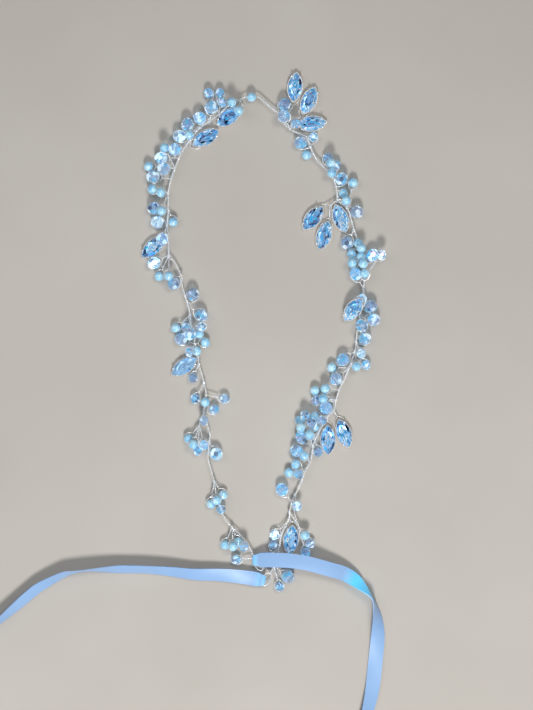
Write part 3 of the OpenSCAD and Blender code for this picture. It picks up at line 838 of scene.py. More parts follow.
def wound(line: Sequence[Vector], radius: float, pitch: float, phase: float = 0) -> list[Vector]:
    """Winds a line round another.

    Args:
        line: Points of the middle line.
        radius: Distance from the middle.
        pitch: Length of one turn.
        phase: Turn at the start, in radians.

    Returns:
        Points of the wound line, one for each of the middle line's.
    """
    run, points = 0.0, []
    for i, (here, ahead) in enumerate(zip(line, headings(line))):
        if i:
            run += (here - line[i - 1]).length
        side = side_of(ahead)
        turn = phase + 2 * math.pi * run / pitch
        points.append(here + (side * math.cos(turn) + side.cross(ahead) * math.sin(turn)) * radius)
    return points


@dataclass(frozen=True)
class TwistedPair:
    """Two wires wound round each other: sizes in metres, and the points to one turn."""

    radius: float
    offset: float
    pitch: float
    steps: int

    def along(self, points: Sequence[Vector]) -> list[Strand]:
        """Lays the pair along a smooth line through points.

        Args:
            points: The points.

        Returns:
            The two strands.
        """
        line = smooth(points, self.pitch / self.steps)
        return [Strand(wound(line, self.offset, self.pitch, phase), self.radius) for phase in (0, math.pi)]


@dataclass(frozen=True)
class Half:
    """One half of the vine: its routes, its charts, and the route's last two points at the end loop."""

    name: str
    route: Chart
    twig: Chart
    beads: Sequence[Sequence]
    threaded: Sequence[Sequence]
    stones: Chart
    tip: int
    before_tip: int

    def hub(self, index: int) -> Vector:
        """Place on the wire that a stalk leaves from."""
        return place(self.route[index] if index < TWIG_FROM else self.twig[index - TWIG_FROM])

    def along(self, where: float) -> tuple[Vector, Vector]:
        """Place and heading on the route.

        Args:
            where: Number of the route's point, with the share of the way to the next one.

        Returns:
            The place and the heading.
        """
        start = int(where)
        a, b = place(self.route[start]), place(self.route[start + 1])
        return a.lerp(b, where - start), (b - a).normalized()


def seat(row: Sequence[float]) -> Matrix:
    """Places a stone and its setting.

    Args:
        row: The stone's line of the chart.

    Returns:
        Matrix from the stone's axes, in millimetres, to the vine, in metres.
    """
    turn, tilt, roll = (math.radians(a) for a in row[3:6])
    return (Matrix.Translation(place(row)) @ Matrix.Rotation(turn, 4, "Z")
            @ Matrix.Rotation(-tilt, 4, "Y") @ Matrix.Rotation(roll, 4, "X") @ Matrix.Scale(MM, 4))


@dataclass
class Wirework:
    """The wire of one half: the twisted stem, its twisted stalks, the loops through beads and settings."""

    half: Half
    metal: bpy.types.Material
    stem_pair: TwistedPair = TwistedPair(0.21 * MM, 0.24 * MM, 2.3 * MM, 9)
    stalk_pair: TwistedPair = TwistedPair(0.15 * MM, 0.15 * MM, 1.3 * MM, 7)
    stalk_bow: float = 0.04
    coil_radius: float = 0.62 * MM
    coil_pitch: float = 0.3225 * MM
    coil_turns: float = 3.5
    coil_steps: int = 10
    neck_gap: float = 1.4 * MM
    neck_share: float = 0.9
    mouth_gap: float = 0.2 * MM
    loop_steps: int = 8
    loop_spread: float = 0.7
    loop_start: float = 0.05
    bead_swing: float = 0.5 * MM
    stone_swing: float = 0.8 * MM
    tip_reach: float = 3.5 * MM
    tip_turns: tuple[tuple[float, float], ...] = ((0.2 * MM, 2.0 * MM), (-0.2 * MM, 1.9 * MM))
    tip_steps: int = 36
    wrap_length: float = 1.8 * MM
    wrap_radius: float = 0.72 * MM
    wrap_pitch: float = 0.34 * MM
    wrap_steps: int = 30
    strands: list[Strand] = field(default_factory=list)

    def stem(self) -> None:
        """Adds the twisted stem and its side branch."""
        for chart in (self.half.route, self.half.twig):
            self.strands += self.stem_pair.along([place(p) for p in chart])

    def wrap(self, middle: Vector, ahead: Vector, length: float, steps: int, radius: float,
             pitch: float) -> None:
        """Adds a short coil of fine wire round the stem.

        Args:
            middle: Middle of the coil.
            ahead: Heading of the stem there.
            length: Length of the coil.
            steps: Number of its steps.
            radius: Its radius.
            pitch: Length of one turn.
        """
        line = [middle + ahead * (length * (k / steps - 0.5)) for k in range(steps + 1)]
        self.strands.append(Strand(wound(line, radius, pitch), self.stalk_pair.radius))

    def coil(self, index: int) -> None:
        """Adds the coil where stalks leave the stem.

        Args:
            index: Number of the route's point.
        """
        ahead = (self.half.hub(index + 1) - self.half.hub(index - 1)).normalized()
        self.wrap(self.half.hub(index), ahead, self.coil_turns * self.coil_pitch,
                  int(self.coil_turns * self.coil_steps), self.coil_radius, self.coil_pitch)

    def loop(self, neck: Vector, centre: Vector, side: Vector, mouth: float, swing: float) -> None:
        """Adds a loop of fine wire from a neck through a bore and back.

        Args:
            neck: Where the twisted stalk opens into the loop.
            centre: Middle of the bore.
            side: Direction of the bore.
            mouth: Half the length of the bore.
            swing: How far the loop runs out to the side before it turns into the bore.
        """
        first = neck + side * (mouth * self.loop_spread) + (centre - neck) * self.loop_start
        end = centre + side * mouth
        second = end + side * swing
        shares = [k / self.loop_steps for k in range(self.loop_steps + 1)]
        there = [neck * (1 - t) ** 3 + first * (3 * t * (1 - t) ** 2) + second * (3 * t * t * (1 - t))
                 + end * t ** 3 for t in shares]
        back = [p - side * (2 * (p - centre).dot(side)) for p in reversed(there)]
        self.strands.append(Strand(there + back, self.stalk_pair.radius))

    def stalk(self, start: Vector, neck: Vector) -> None:
        """Adds a twisted stalk with a slight bow."""
        middle = (start + neck) / 2 + UP * (self.stalk_bow * (neck - start).length)
        self.strands += self.stalk_pair.along([start, middle, neck])

    def bead_stalk(self, row: Sequence) -> None:
        """Adds the stalk and the loop of one bead.

        Args:
            row: The bead's line of the chart.
        """
        kind, start, centre = Kind(row[3]), self.half.hub(row[4]), place(row)
        forward = (centre - start).normalized()
        reach = min(BEADS.radius(kind) * MM + self.neck_gap, (centre - start).length * self.neck_share)
        neck = centre - forward * reach
        self.stalk(start, neck)
        self.loop(neck, centre, side_of(forward), BEADS.half_length(kind) * MM + self.mouth_gap,
                  self.bead_swing)

    def stone_stalk(self, row: Sequence[float]) -> None:
        """Adds the stalk and the loop of one setting.

        Args:
            row: The stone's line of the chart.
        """
        to_vine = seat(row)
        neck = to_vine @ NAVETTE.neck
        side = (to_vine.to_3x3() @ Vector((0, 1, 0))).normalized()
        self.stalk(self.half.hub(int(row[6])), neck)
        self.loop(neck, to_vine @ NAVETTE.eye, side, NAVETTE.eye_mouth * MM, self.stone_swing)

    def end_loop(self) -> None:
        """Adds the closed loop at the end of the half, of two turns of wire."""
        tip, before = place(self.half.route[self.half.tip]), place(self.half.route[self.half.before_tip])
        ahead = (tip - before).normalized()
        side, middle = side_of(ahead), tip + ahead * self.tip_reach
        turns = [2 * math.pi * k / self.tip_steps for k in range(self.tip_steps)]
        for rise, wide in self.tip_turns:
            ring = [middle - ahead * (math.cos(a) * self.tip_reach) + side * (math.sin(a) * wide) + UP * rise
                    for a in turns]
            self.strands.append(Strand(ring, self.stem_pair.radius, closed=True))
        self.wrap(tip, ahead, self.wrap_length, self.wrap_steps, self.wrap_radius, self.wrap_pitch)

    def build(self) -> bpy.types.Object:
        """Builds all of the half's wire.

        Returns:
            The piece.
        """
        half = self.half
        self.stem()
        for row in half.beads:
            self.bead_stalk(row)
        for row in half.stones:
            self.stone_stalk(row)
        for index in sorted({row[4] for row in half.beads} | {int(row[6]) for row in half.stones}):
            if 0 < index < len(half.route) - 1:
                self.coil(index)
        self.end_loop()
        piece = join([draw_wires(self.strands)], f"wirework_{half.name}")
        dress(piece, self.metal)
        declare(piece, f"stem_{half.name}")
        return piece


@dataclass
class BeadMaker:
    """Models each kind of bead once and copies it to its places."""

    seed: int = 11
    sides: int = 8
    # Each row of facets: degrees above the middle, turn in facets and distance as a share of the radius.
    rows: tuple[tuple[float, float, float], ...] = (
        (0, 0.0, 1.0), (36, 0.5, 0.985), (-36, 0.5, 0.985), (62, 0.0, 0.985), (-62, 0.0, 0.985),
    )
    least_level: float = 0.98
    end_tolerance: float = 0.02
    end_share: float = 0.96
    least_inset: float = 0.2
    round_segments: int = 20
    round_rings: int = 14
    pole_share: float = 0.05

    def cut_pattern(self, kind: Kind, bore: float) -> bpy.types.Object:
        """Models a faceted bead, its bore along Z.

        Args:
            kind: Kind of bead.
            bore: Radius of the bore in millimetres.

        Returns:
            The pattern, in millimetres.
        """
        radius = BEADS.radius(kind) * BEADS.cut_share
        deselect()
        bpy.ops.mesh.primitive_cube_add(size=2 * radius * BLOCK, location=(0, 0, 0))
        pattern = active()
        bpy.ops.object.mode_set(mode="EDIT")
        for latitude, offset, share in self.rows:
            tilt = math.radians(latitude)
            for k in range(self.sides):
                turn = 2 * math.pi * (k + offset) / self.sides
                flat = math.cos(tilt)
                normal = Vector((math.cos(turn) * flat, math.sin(turn) * flat, math.sin(tilt)))
                self.slice(normal * radius * share, normal)
        for normal in (UP, -UP):
            self.slice(normal * BEADS.half_length(kind), normal)
        self.drill(BEADS.half_length(kind), bore)
        bpy.ops.object.mode_set(mode="OBJECT")
        return pattern

    @staticmethod
    def slice(point: Vector, normal: Vector) -> None:
        """Cuts a facet and closes it.

        Args:
            point: Point of the facet's plane.
            normal: Direction that the facet faces.
        """
        bpy.ops.mesh.select_all(action="SELECT")
        bpy.ops.mesh.bisect(plane_co=point, plane_no=normal, use_fill=True, clear_outer=True)

    def drill(self, end: float, bore: float) -> None:
        """Opens a bore between the two end facets of the mesh in edit mode.

        Args:
            end: Distance of the end facets from the middle.
            bore: Radius of the bore.
        """
        mesh = active().data
        bpy.ops.mesh.select_mode(type="FACE")
        bpy.ops.mesh.select_all(action="DESELECT")
        bpy.ops.object.mode_set(mode="OBJECT")
        for face in mesh.polygons:
            near_end = abs(abs(face.center.z) - end) < end * self.end_tolerance
            face.select = near_end and abs(face.normal.z) > self.least_level
        wide = min(face.center.xy.length + math.sqrt(face.area / math.pi)
                   for face in mesh.polygons if face.select)
        bpy.ops.object.mode_set(mode="EDIT")
        inset = max(wide * self.end_share - bore, wide * self.least_inset)
        bpy.ops.mesh.inset(thickness=inset, use_individual=True)
        bpy.ops.mesh.delete(type="ONLY_FACE")
        self.select_rims()
        self.line_bore()

    @staticmethod
    def select_rims() -> None:
        """Adds the open rims of the mesh in edit mode to what is selected."""
        bpy.ops.mesh.select_mode(type="EDGE")
        bpy.ops.mesh.select_non_manifold(use_wire=False, use_multi_face=False, use_non_contiguous=False,
                                         use_verts=False)

    @staticmethod
    def line_bore() -> None:
        """Joins the two selected rims with a wall and turns all faces outwards."""
        bpy.ops.mesh.bridge_edge_loops()
        bpy.ops.mesh.select_all(action="SELECT")
        bpy.ops.mesh.normals_make_consistent(inside=False)

    def round_pattern(self, bore: float) -> bpy.types.Object:
        """Models a round bead, its bore along Z.

        Args:
            bore: Radius of the bore in millimetres.

        Returns:
            The pattern, in millimetres.
        """
        deselect()
        bpy.ops.mesh.primitive_uv_sphere_add(segments=self.round_segments, ring_count=self.round_rings,
                                             radius=BEADS.opal, location=(0, 0, 0))
        pattern = active()
        bpy.ops.object.mode_set(mode="EDIT")
        bpy.ops.mesh.select_mode(type="VERT")
        bpy.ops.mesh.select_all(action="DESELECT")
        bpy.ops.object.mode_set(mode="OBJECT")
        for corner in pattern.data.vertices:
            corner.select = corner.co.xy.length < BEADS.opal * self.pole_share
        bpy.ops.object.mode_set(mode="EDIT")
        bpy.ops.mesh.delete(type="VERT")
        self.select_rims()
        narrowing = bore / (BEADS.opal * math.sin(math.pi / self.round_rings))
        bpy.ops.transform.resize(value=(narrowing, narrowing, 1), center_override=(0, 0, 0))
        self.line_bore()
        bpy.ops.object.mode_set(mode="OBJECT")
        shade_round()
        return pattern

    def string(self, half: Half | None, kind: Kind, name: str, node: str, material: bpy.types.Material,
               extra: Sequence[tuple[Vector, Vector]] = ()) -> bpy.types.Object:
        """Copies a kind of bead to all its places on a half.

        Args:
            half: The half, or None for only the extra places.
            kind: Kind of bead.
            name: Name of the piece.
            node: Solid that the piece stands for.
            material: Finish of the beads.
            extra: Other places on the stem, each with the direction of its bore.

        Returns:
            The piece.
        """
        chance = random.Random(f"{self.seed}{name}")
        fine: list[tuple[Vector, Vector]] = []
        thick = list(extra)
        if half:
            rows = [row for row in half.beads if row[3] == kind.value]
            fine = [(place(row), side_of(place(row) - half.hub(row[4]))) for row in rows]
            thick += [half.along(where) for where, letter in half.threaded if letter == kind.value]
        copies: list[bpy.types.Object] = []
        for places, bore in ((fine, BEADS.bore), (thick, BEADS.stem_bore)):
            if not places:
                continue
            pattern = self.round_pattern(bore) if kind is Kind.OPAL else self.cut_pattern(kind, bore)
            copies += [self.copy(pattern, centre, axis, chance, kind) for centre, axis in places]
            bpy.data.objects.remove(pattern)
        piece = join(copies, name)
        dress(piece, material)
        declare(piece, node)
        return piece

    @staticmethod
    def copy(pattern: bpy.types.Object, centre: Vector, axis: Vector, chance: random.Random,
             kind: Kind) -> bpy.types.Object:
        """Copies a pattern to a place, one facet down and rolled a little by chance.

        Args:
            pattern: The bead in millimetres.
            centre: Its middle.
            axis: Direction of its bore.
            chance: Source of the roll and of the facets' tones.
            kind: Kind of bead.

        Returns:
            The copy.
        """
        turn = UP.rotation_difference(axis).to_matrix().to_4x4()
        down = turn.inverted() @ -UP
        roll = math.radians(chance.uniform(-BEADS.roll, BEADS.roll))
        spin = Matrix.Rotation(math.atan2(down.y, down.x) + roll, 4, "Z")
        bead = copied(pattern, Matrix.Translation(centre) @ turn @ spin @ Matrix.Scale(MM, 4))
        whole = chance.random()
        tone_facets(bead.data, chance, whole if kind is Kind.OPAL else None)
        return bead


@dataclass(frozen=True)
class NavetteSizes:
    """Sizes of a navette stone and its setting, in millimetres."""

    length: float = 14.4
    width: float = 7.0
    table_length: float = 8.6
    table_width: float = 4.2
    girdle: float = 0.3
    crown: float = 1.3
    pavilion: float = 1.1
    rim_height: float = 2.0
    rim: float = 0.4
    clearance: float = 0.06
    eye_x: float = -4.0
    eye_z: float = 0.7
    eye_mouth: float = 2.9
    neck_gap: float = 1.4

    @property
    def eye(self) -> Vector:
        """Middle of the wire hole through the setting, whose half width is the eye's mouth."""
        return Vector((self.eye_x, 0, self.eye_z))

    @property
    def neck(self) -> Vector:
        """Where the stalk opens into the loop, outside the setting's tip."""
        return Vector((-self.length / 2 - self.clearance - self.rim - self.neck_gap, 0, self.eye_z))


NAVETTE = NavetteSizes()


@dataclass
class NavetteMaker:
    """Models the navette stone once and copies it into its settings.

    The places of facets are degrees from the middle of a side. The shares are of the stone's plan, of the
    table's plan and of the crown's height.
    """

    material: bpy.types.Material
    sky_lit: bpy.types.Material
    outline: tuple[float, ...] = (-51, -39, -26, -13, 0, 13, 26, 39, 51)
    mains: tuple[float, ...] = (-45, -19.5, 19.5, 45)
    breaks: tuple[float, ...] = (-51, -32, -6.5, 6.5, 32, 51)
    stars: tuple[float, ...] = (-34, 0, 34)
    girdle_share: tuple[float, float] = (0.985, 0.975)
    culet_share: tuple[float, float] = (0.35, 0.3)
    break_table: float = 1.12
    break_reach: float = 0.42
    break_height: float = 0.58
    star_out: float = 1.12
    star_in: float = 0.86
    star_depth: float = 0.16
    plan_range: float = 40
    seed: int = 500
    count: int = 0

    @staticmethod
    def rim(length: float, width: float, angle: float, side: int) -> tuple[Vector, Vector]:
        """Point and direction of a pointed oval's rim.

        Args:
            length: Length of the oval.
            width: Width of the oval.
            angle: Angle from the middle of the side, in degrees.
            side: 1 for the far side and -1 for the near one.

        Returns:
            The point and the direction outwards, in the plan.
        """
        radius = (length * length + width * width) / (4 * width)
        turn = math.radians(angle)
        out = Vector((math.sin(turn), side * math.cos(turn), 0))
        return Vector((radius * out.x, side * (radius * math.cos(turn) + width / 2 - radius), 0)), out

    @staticmethod
    def facet(low: Vector, high: Vector, out: Vector) -> None:
        """Cuts a facet that goes through two points and lies level along the rim.

        Args:
            low: The lower point.
            high: The upper point.
            out: Direction outwards in the plan.
        """
        normal = UP.cross(out).cross(high - low).normalized()
        if normal.dot(out) < 0:
            normal.negate()
        BeadMaker.slice(low, normal)

    def pattern(self) -> bpy.types.Object:
        """Models the cut stone.

        Returns:
            The stone in millimetres, its setting's base at the origin.
        """
        n = NAVETTE
        culet, base, top = n.rim_height - n.pavilion, n.rim_height, n.rim_height + n.girdle
        table = top + n.crown
        girdle_plan = (n.length * self.girdle_share[0], n.width * self.girdle_share[1])
        table_plan = (n.table_length, n.table_width)
        break_plan = (n.table_length * self.break_table, n.table_width * self.break_table)
        culet_plan = (n.length * self.culet_share[0], n.width * self.culet_share[1])
        deselect()
        bpy.ops.mesh.primitive_cube_add(size=1, location=(0, 0, (culet + table) / 2))
        stone = active()
        stone.scale = (n.length * BLOCK, n.width * BLOCK, table - culet)
        bpy.ops.object.transform_apply(location=True, rotation=False, scale=True)
        bpy.ops.object.mode_set(mode="EDIT")
        for side in (1, -1):
            for angle in self.outline:
                edge, out = self.rim(*girdle_plan, angle, side)
                BeadMaker.slice(edge + UP * base, out)
            for angle in self.mains:
                edge, out = self.rim(*girdle_plan, angle, side)
                inner, _ = self.rim(*table_plan, angle, side)
                self.facet(edge + UP * top, inner + UP * table, out)
                under, _ = self.rim(*culet_plan, angle, side)
                self.facet(under + UP * culet, edge + UP * base, out)
            for angle in self.breaks:
                edge, out = self.rim(*girdle_plan, angle, side)
                inner, _ = self.rim(*break_plan, angle, side)
                high = edge.lerp(inner, self.break_reach) + UP * (top + n.crown * self.break_height)
                self.facet(edge + UP * top, high, out)
            for angle in self.stars:
                inner, out = self.rim(*table_plan, angle, side)
                low = inner * self.star_out + UP * (table - n.crown * self.star_depth)
                self.facet(low, inner * self.star_in + UP * table, out)
        bpy.ops.object.mode_set(mode="OBJECT")
        return stone

    def map_cut(self, pattern: bpy.types.Mesh, stone: bpy.types.Mesh, chance: random.Random) -> None:
        """Writes the places on the stone's own plan, in millimetres, from a start by chance.

        Args:
            pattern: The stone before it was moved.
            stone: The stone in its place.
            chance: Source of the plan's start.
        """
        uv = stone.uv_layers.new(name="cut")
        start = Vector((chance.uniform(0, self.plan_range), chance.uniform(0, self.plan_range)))
        for loop in stone.loops:
            uv.data[loop.index].uv = pattern.vertices[loop.vertex_index].co.xy + start

    def build(self, half: Half) -> list[bpy.types.Object]:
        """Sets a stone in each setting of a half.

        Args:
            half: The half.

        Returns:
            The stones.
        """
        pattern = self.pattern()
        stones: list[bpy.types.Object] = []
        for index, row in enumerate(half.stones, 1):
            chance = random.Random(self.seed + self.count)
            self.count += 1
            stone = copied(pattern, seat(row))
            tone_facets(stone.data, chance)
            self.map_cut(pattern.data, stone.data, chance)
            piece = join([stone], f"navette_{half.name}_{index}")
            # One stone gets the paler tones of a painted glare.
            dress(piece, self.sky_lit if (half.name, index) == PAINTED_GLARE_STONE else self.material)
            declare(piece, f"stone_{half.name}_{index}")
            stones.append(piece)
        bpy.data.objects.remove(pattern)
        return stones


@dataclass(frozen=True)
class Station:
    """One place along a band of ribbon: its middle, its directions, its width and how much painted sheen it
    gets.
    """

    middle: Vector
    side: Vector
    face: Vector
    width: float
    # How much painted sheen the ribbon gets here.
    gleam: float
    run: float


@dataclass(frozen=True)
class Ripple:
    """A wave over the ribbon: how fast it turns along a metre and across the width, and its height."""

    along: float
    across: float
    height: float

    def rise(self, run: float, share: float) -> float:
        """Height of the wave at a distance along the ribbon and a share of its width."""
        return math.sin(run * self.along + share * self.across) * self.height


@dataclass(frozen=True)
class RibbonMaker:
    """Lays the satin ribbons along their routes and folds their ends over the wire loops.

    The fold starts inside the ribbon, comes out under its end, goes round the wire loop and back below. The
    ribbon is pinched there and gets a little painted sheen.
    """

    material: bpy.types.Material
    width: float = 7.2 * MM
    thickness: float = 0.35 * MM
    across: int = 12
    step: float = 1.6 * MM
    crown: float = 0.2 * MM
    wave: Ripple = Ripple(95, 3, 0.06 * MM)
    crease: Ripple = Ripple(300, 22, 0.07 * MM)
    # Reach of the painted sheen round its place, and its strength at the fold.
    painted_gleam_reach: float = 8.0 * MM
    fold_gleam: float = 0.4
    pinch: float = 0.3
    pinch_place: float = 2.2 * MM
    pinch_reach: float = 2.4 * MM
    lap_start: float = 0.3 * MM
    lap_step: float = 0.38 * MM
    lap_height: float = 0.02 * MM
    lap_rise: float = 0.046 * MM
    lap_steps: int = 6
    bend_place: float = 1.6 * MM
    bend_height: float = 0.25 * MM
    bend_radius: float = 0.8 * MM
    bend_steps: int = 10
    back_length: float = 8.0 * MM
    back_step: float = 0.8 * MM
    fold_step: float = 0.5 * MM

    def nearness(self, along: float) -> float:
        """How near a place is to the wire loop, from its distance past the ribbon's start in metres."""
        return math.exp(-((along + self.pinch_place) / self.pinch_reach) ** 2)

    def stations(self, line: Sequence[Vector], painted_gleam_at: Vector) -> list[Station]:
        """Places along a ribbon.

        Args:
            line: Points of its middle, each with its turn on edge as fourth number.
            painted_gleam_at: Place where the ribbon's painted sheen is strongest.

        Returns:
            The places.
        """
        found: list[Station] = []
        run = 0.0
        for i, (point, ahead) in enumerate(zip(line, headings(line))):
            here, turn = point.to_3d(), point.w
            if i:
                run += (here - found[-1].middle).length
            flat = side_of(ahead)
            up = flat.cross(ahead)
            side = flat * math.cos(turn) + up * math.sin(turn)
            face = up * math.cos(turn) - flat * math.sin(turn)
            # Painted sheen, strongest round one place.
            gleam = math.exp(-((here - painted_gleam_at).length / self.painted_gleam_reach) ** 2)
            near = self.nearness(run)
            found.append(Station(here, side, face, self.width * (1 - self.pinch * near),
                                 max(gleam, self.fold_gleam * near), run))
        return found

    def fold(self, first: Station, ahead: Vector) -> list[Station]:
        """Places along the end that is folded over a wire loop and laid back under the ribbon.

        Args:
            first: The ribbon's first place.
            ahead: Heading of the ribbon there.

        Returns:
            The places.
        """
        radius = self.bend_radius
        turns = [math.pi * k / self.bend_steps for k in range(1, self.bend_steps + 1)]
        back_steps = int((self.back_length + self.bend_place) / self.back_step)
        path = [(self.lap_start - k * self.lap_step, self.lap_height + k * self.lap_rise, 0.0)
                for k in range(self.lap_steps)]
        path += [(-self.bend_place - radius * math.sin(a), self.bend_height - radius * (1 - math.cos(a)), a)
                 for a in turns]
        path += [(-self.bend_place + k * self.back_step, self.bend_height - 2 * radius, math.pi)
                 for k in range(1, back_steps)]
        level = Vector((ahead.x, ahead.y, 0)).normalized()
        found: list[Station] = []
        for k, (along, rise, turn) in enumerate(path):
            face = UP * math.cos(turn) - level * math.sin(turn)
            near = self.nearness(along)
            middle = first.middle + level * along + UP * rise
            # The fold gets a little painted sheen near the wire loop.
            found.append(Station(middle, first.side, face, self.width * (1 - self.pinch * near),
                                 self.fold_gleam * near, k * self.fold_step))
        return found

    def ring(self, station: Station) -> list[Vector]:
        """Corners of the band at one place.

        Args:
            station: The place.

        Returns:
            The corners, across the face and back across the underside.
        """
        corners: list[Vector] = []
        for way in (1, -1):
            for k in range(self.across + 1):
                share = (k / self.across - 0.5) * way
                height = way * self.thickness / 2 + self.crown * (1 - (2 * share) ** 2)
                height += self.wave.rise(station.run, share)
                height += self.crease.rise(station.run, share) * station.gleam
                corners.append(station.middle + station.side * (share * station.width)
                               + station.face * height)
        return corners

    def band(self, name: str, stations: Sequence[Station]) -> bpy.types.Object:
        """Makes a band of ribbon through its places.

        Args:
            name: Name of the piece.
            stations: The places.

        Returns:
            The piece.
        """
        corners = [corner for station in stations for corner in self.ring(station)]
        ring, last = 2 * (self.across + 1), len(stations) - 1
        faces: list[list[int]] = []
        for i in range(last):
            here, there = i * ring, (i + 1) * ring
            for k in range(ring):
                beside = (k + 1) % ring
                faces.append([here + k, here + beside, there + beside, there + k])
        faces += [list(range(ring))[::-1], [last * ring + k for k in range(ring)]]
        mesh = bpy.data.meshes.new(name)
        mesh.from_pydata(corners, [], faces)
        piece = bpy.data.objects.new(name, mesh)
        bpy.context.collection.objects.link(piece)
        self.mark(mesh, stations, ring)
        deselect()
        piece.select_set(True)
        bpy.context.view_layer.objects.active = piece
        bpy.ops.object.mode_set(mode="EDIT")
        bpy.ops.mesh.select_all(action="SELECT")
        bpy.ops.mesh.normals_make_consistent(inside=False)
        bpy.ops.object.mode_set(mode="OBJECT")
        shade_round()
        dress(piece, self.material)
        declare(piece)
        return piece

    def mark(self, mesh: bpy.types.Mesh, stations: Sequence[Station], ring: int) -> None:
        """Writes the place across and along the ribbon, and how much painted sheen it gets.

        Args:
            mesh: The ribbon.
            stations: Its places.
            ring: Points at each place.
        """
        uv = mesh.uv_layers.new(name="ribbon")
        half = self.across + 1
        for loop in mesh.loops:
            k = loop.vertex_index % ring
            share = (k if k < half else 2 * half - 1 - k) / self.across - 0.5
            uv.data[loop.index].uv = (share * self.width, stations[loop.vertex_index // ring].run)
        gleam = mesh.attributes.new("gleam", "FLOAT", "POINT")
        for corner, item in enumerate(gleam.data):
            item.value = stations[corner // ring].gleam

    def build(self, name: str, node: str, route: Chart, length: float,
              painted_gleam_at: Sequence[float]) -> bpy.types.Object:
        """Args:
            name: Name of the piece.
            node: Solid that it stands for.
            route: x, y and height of its middle in millimetres, and its turn in degrees.
            length: Its real length in metres; not used.
            painted_gleam_at: x, y and height of the place where its painted sheen is strongest.

        Returns:
            The piece.
        """
        line = smooth([Vector((*place(row), math.radians(row[3]))) for row in route], self.step)
        stations = self.stations(line, place(painted_gleam_at))
        piece = self.band(name, stations)
        fold = self.band(f"{name}_fold", self.fold(stations[0], headings(line)[0]))
        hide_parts(node)
        LOG.info("%s: %.1f mm long", name, stations[-1].run / MM)
        return piece


@dataclass(frozen=True)
class Lamp:
    """A soft light: its place and its width in metres, its power in watts and its colour."""

    name: str
    place: tuple[float, float, float]
    width: float
    power: float
    colour: tuple[float, float, float] = (1, 1, 1)


@dataclass(frozen=True)
class Studio:
    """Camera straight above, a pale floor and soft lights, the strongest from the foot of the picture."""

    centre: tuple[float, float] = (1.45 * MM, -11.6 * MM)
    view_height: float = 355 * MM
    distance: float = 1.1
    vine_height: float = 3 * MM
    sensor: float = 24.0
    floor_width: float = 3.0
    lamps: tuple[Lamp, ...] = (
        Lamp("key", (0.05, -0.75, 0.8), 0.22, 10.0, (0.97, 0.98, 1.0)),
        Lamp("fill", (-0.7, 0.3, 0.9), 0.8, 3.2, (0.9, 0.95, 1.0)),
        Lamp("top", (0.45, 0.35, 1.2), 0.4, 4.6),
    )
    sky: Paint = (0.86, 0.9, 0.96, 1)
    sky_strength: float = 0.22

    def camera(self) -> None:
        """Sets the camera straight above the vine."""
        bpy.ops.object.camera_add(location=(*self.centre, self.distance), rotation=(0, 0, 0))
        camera = active()
        camera.name = "camera"
        camera.data.sensor_fit = "VERTICAL"
        camera.data.sensor_height = self.sensor
        camera.data.sensor_width = self.sensor * PICTURE[0] / PICTURE[1]
        camera.data.lens = self.sensor * (self.distance - self.vine_height) / self.view_height
        bpy.context.scene.camera = camera

    def light(self, lamp: Lamp) -> None:
        """Adds a light that points at the vine.

        Args:
            lamp: The light.
        """
        bpy.ops.object.light_add(type="AREA", location=lamp.place)
        light = active()
        light.name = lamp.name
        light.data.size = lamp.width
        light.data.energy = lamp.power
        light.data.color = lamp.colour
        aim = Vector((*self.centre, 0)) - Vector(lamp.place)
        light.rotation_euler = aim.to_track_quat("-Z", "Y").to_euler()

    def floor(self) -> None:
        """Lays the floor."""
        bpy.ops.mesh.primitive_plane_add(size=self.floor_width, location=(*self.centre, 0))
        floor = join([active()], "floor")
        dress(floor, PaleFloor().material())

    def build(self) -> None:
        """Sets up the floor, the lights and the sky."""
        self.floor()
        for lamp in self.lamps:
            self.light(lamp)
        bpy.context.scene.view_settings.view_transform = "Standard"
        world = bpy.data.worlds.new("sky")
        bpy.context.scene.world = world
        world.use_nodes = True
        background = world.node_tree.nodes["Background"]
        background.inputs["Color"].default_value = self.sky
        background.inputs["Strength"].default_value = self.sky_strength


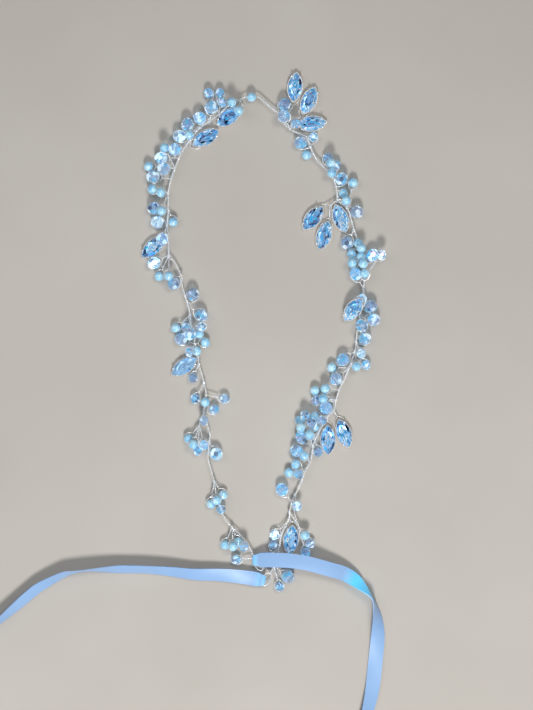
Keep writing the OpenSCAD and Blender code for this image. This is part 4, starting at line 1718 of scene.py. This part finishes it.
def dress_settings(metal: bpy.types.Material, halves: Sequence[Half]) -> None:
    """Gives the settings their silver.

    Args:
        metal: The silver.
        halves: The halves that carry them.
    """
    for half in halves:
        for index in range(1, len(half.stones) + 1):
            for slot in bpy.data.objects[f"setting_{half.name}_{index}"].material_slots:
                slot.material = metal


def report(piece: bpy.types.Object) -> None:
    """Logs a piece."""
    LOG.info("%s: %d faces", piece.name, len(piece.data.polygons))


def main() -> None:
    """Builds the vine and its studio."""
    logging.basicConfig(level=logging.INFO, format="%(message)s")
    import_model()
    studio = Studio()
    studio.camera()
    ribbons = RibbonMaker(Satin("satin").material())
    ribbons.build("satin_ribbon_right", "ribbon_right", RIBBON_RIGHT, RIGHT_RIBBON_LENGTH, RIGHT_PAINTED_GLEAM)
    ribbons.build("satin_ribbon_left", "ribbon_left", RIBBON_LEFT, LEFT_RIBBON_LENGTH, LEFT_PAINTED_GLEAM)
    left = Half("left", LEFT, LEFT_TWIG, LEFT_BEADS, LEFT_THREADED, LEFT_STONES, 0, 1)
    right = Half("right", RIGHT, RIGHT_TWIG, RIGHT_BEADS, RIGHT_THREADED, RIGHT_STONES, -1, -2)
    wire = SilverWire("silver_wire").material()
    crystal = CutGlass("clear_crystal", 0.78).material()
    small = CutGlass("small_clear_crystal", 0.82).material()
    opal = OpalGlass("opal_glass").material()
    stones = NavetteMaker(FoiledStone("foiled_navette", NAVETTE_TINTS_AND_PAINTED_REFLECTIONS).material(),
                          FoiledStone("sky_lit_navette", PAINTED_GLARE_STOPS).material())
    maker = BeadMaker()
    beads = ((Kind.CRYSTAL, "crystals", crystal), (Kind.SMALL, "small_crystals", small),
             (Kind.OPAL, "opals", opal))
    for half in (left, right):
        report(Wirework(half, wire).build())
        for kind, word, material in beads:
            report(maker.string(half, kind, f"{word}_{half.name}_cut", f"{word}_{half.name}", material))
        for piece in stones.build(half):
            report(piece)
    top = (place(LEFT[-1]) + place(RIGHT[0])) / 2
    report(maker.string(None, Kind.OPAL, "top_opal_bead", "top_opal", opal, [(top, Vector((1, 0, 0)))]))
    dress_settings(SilverWire("setting_silver", shine=0.16).material(), (left, right))
    studio.build()
    LOG.info("hair vine finished")


if __name__ == "__main__":
    main()
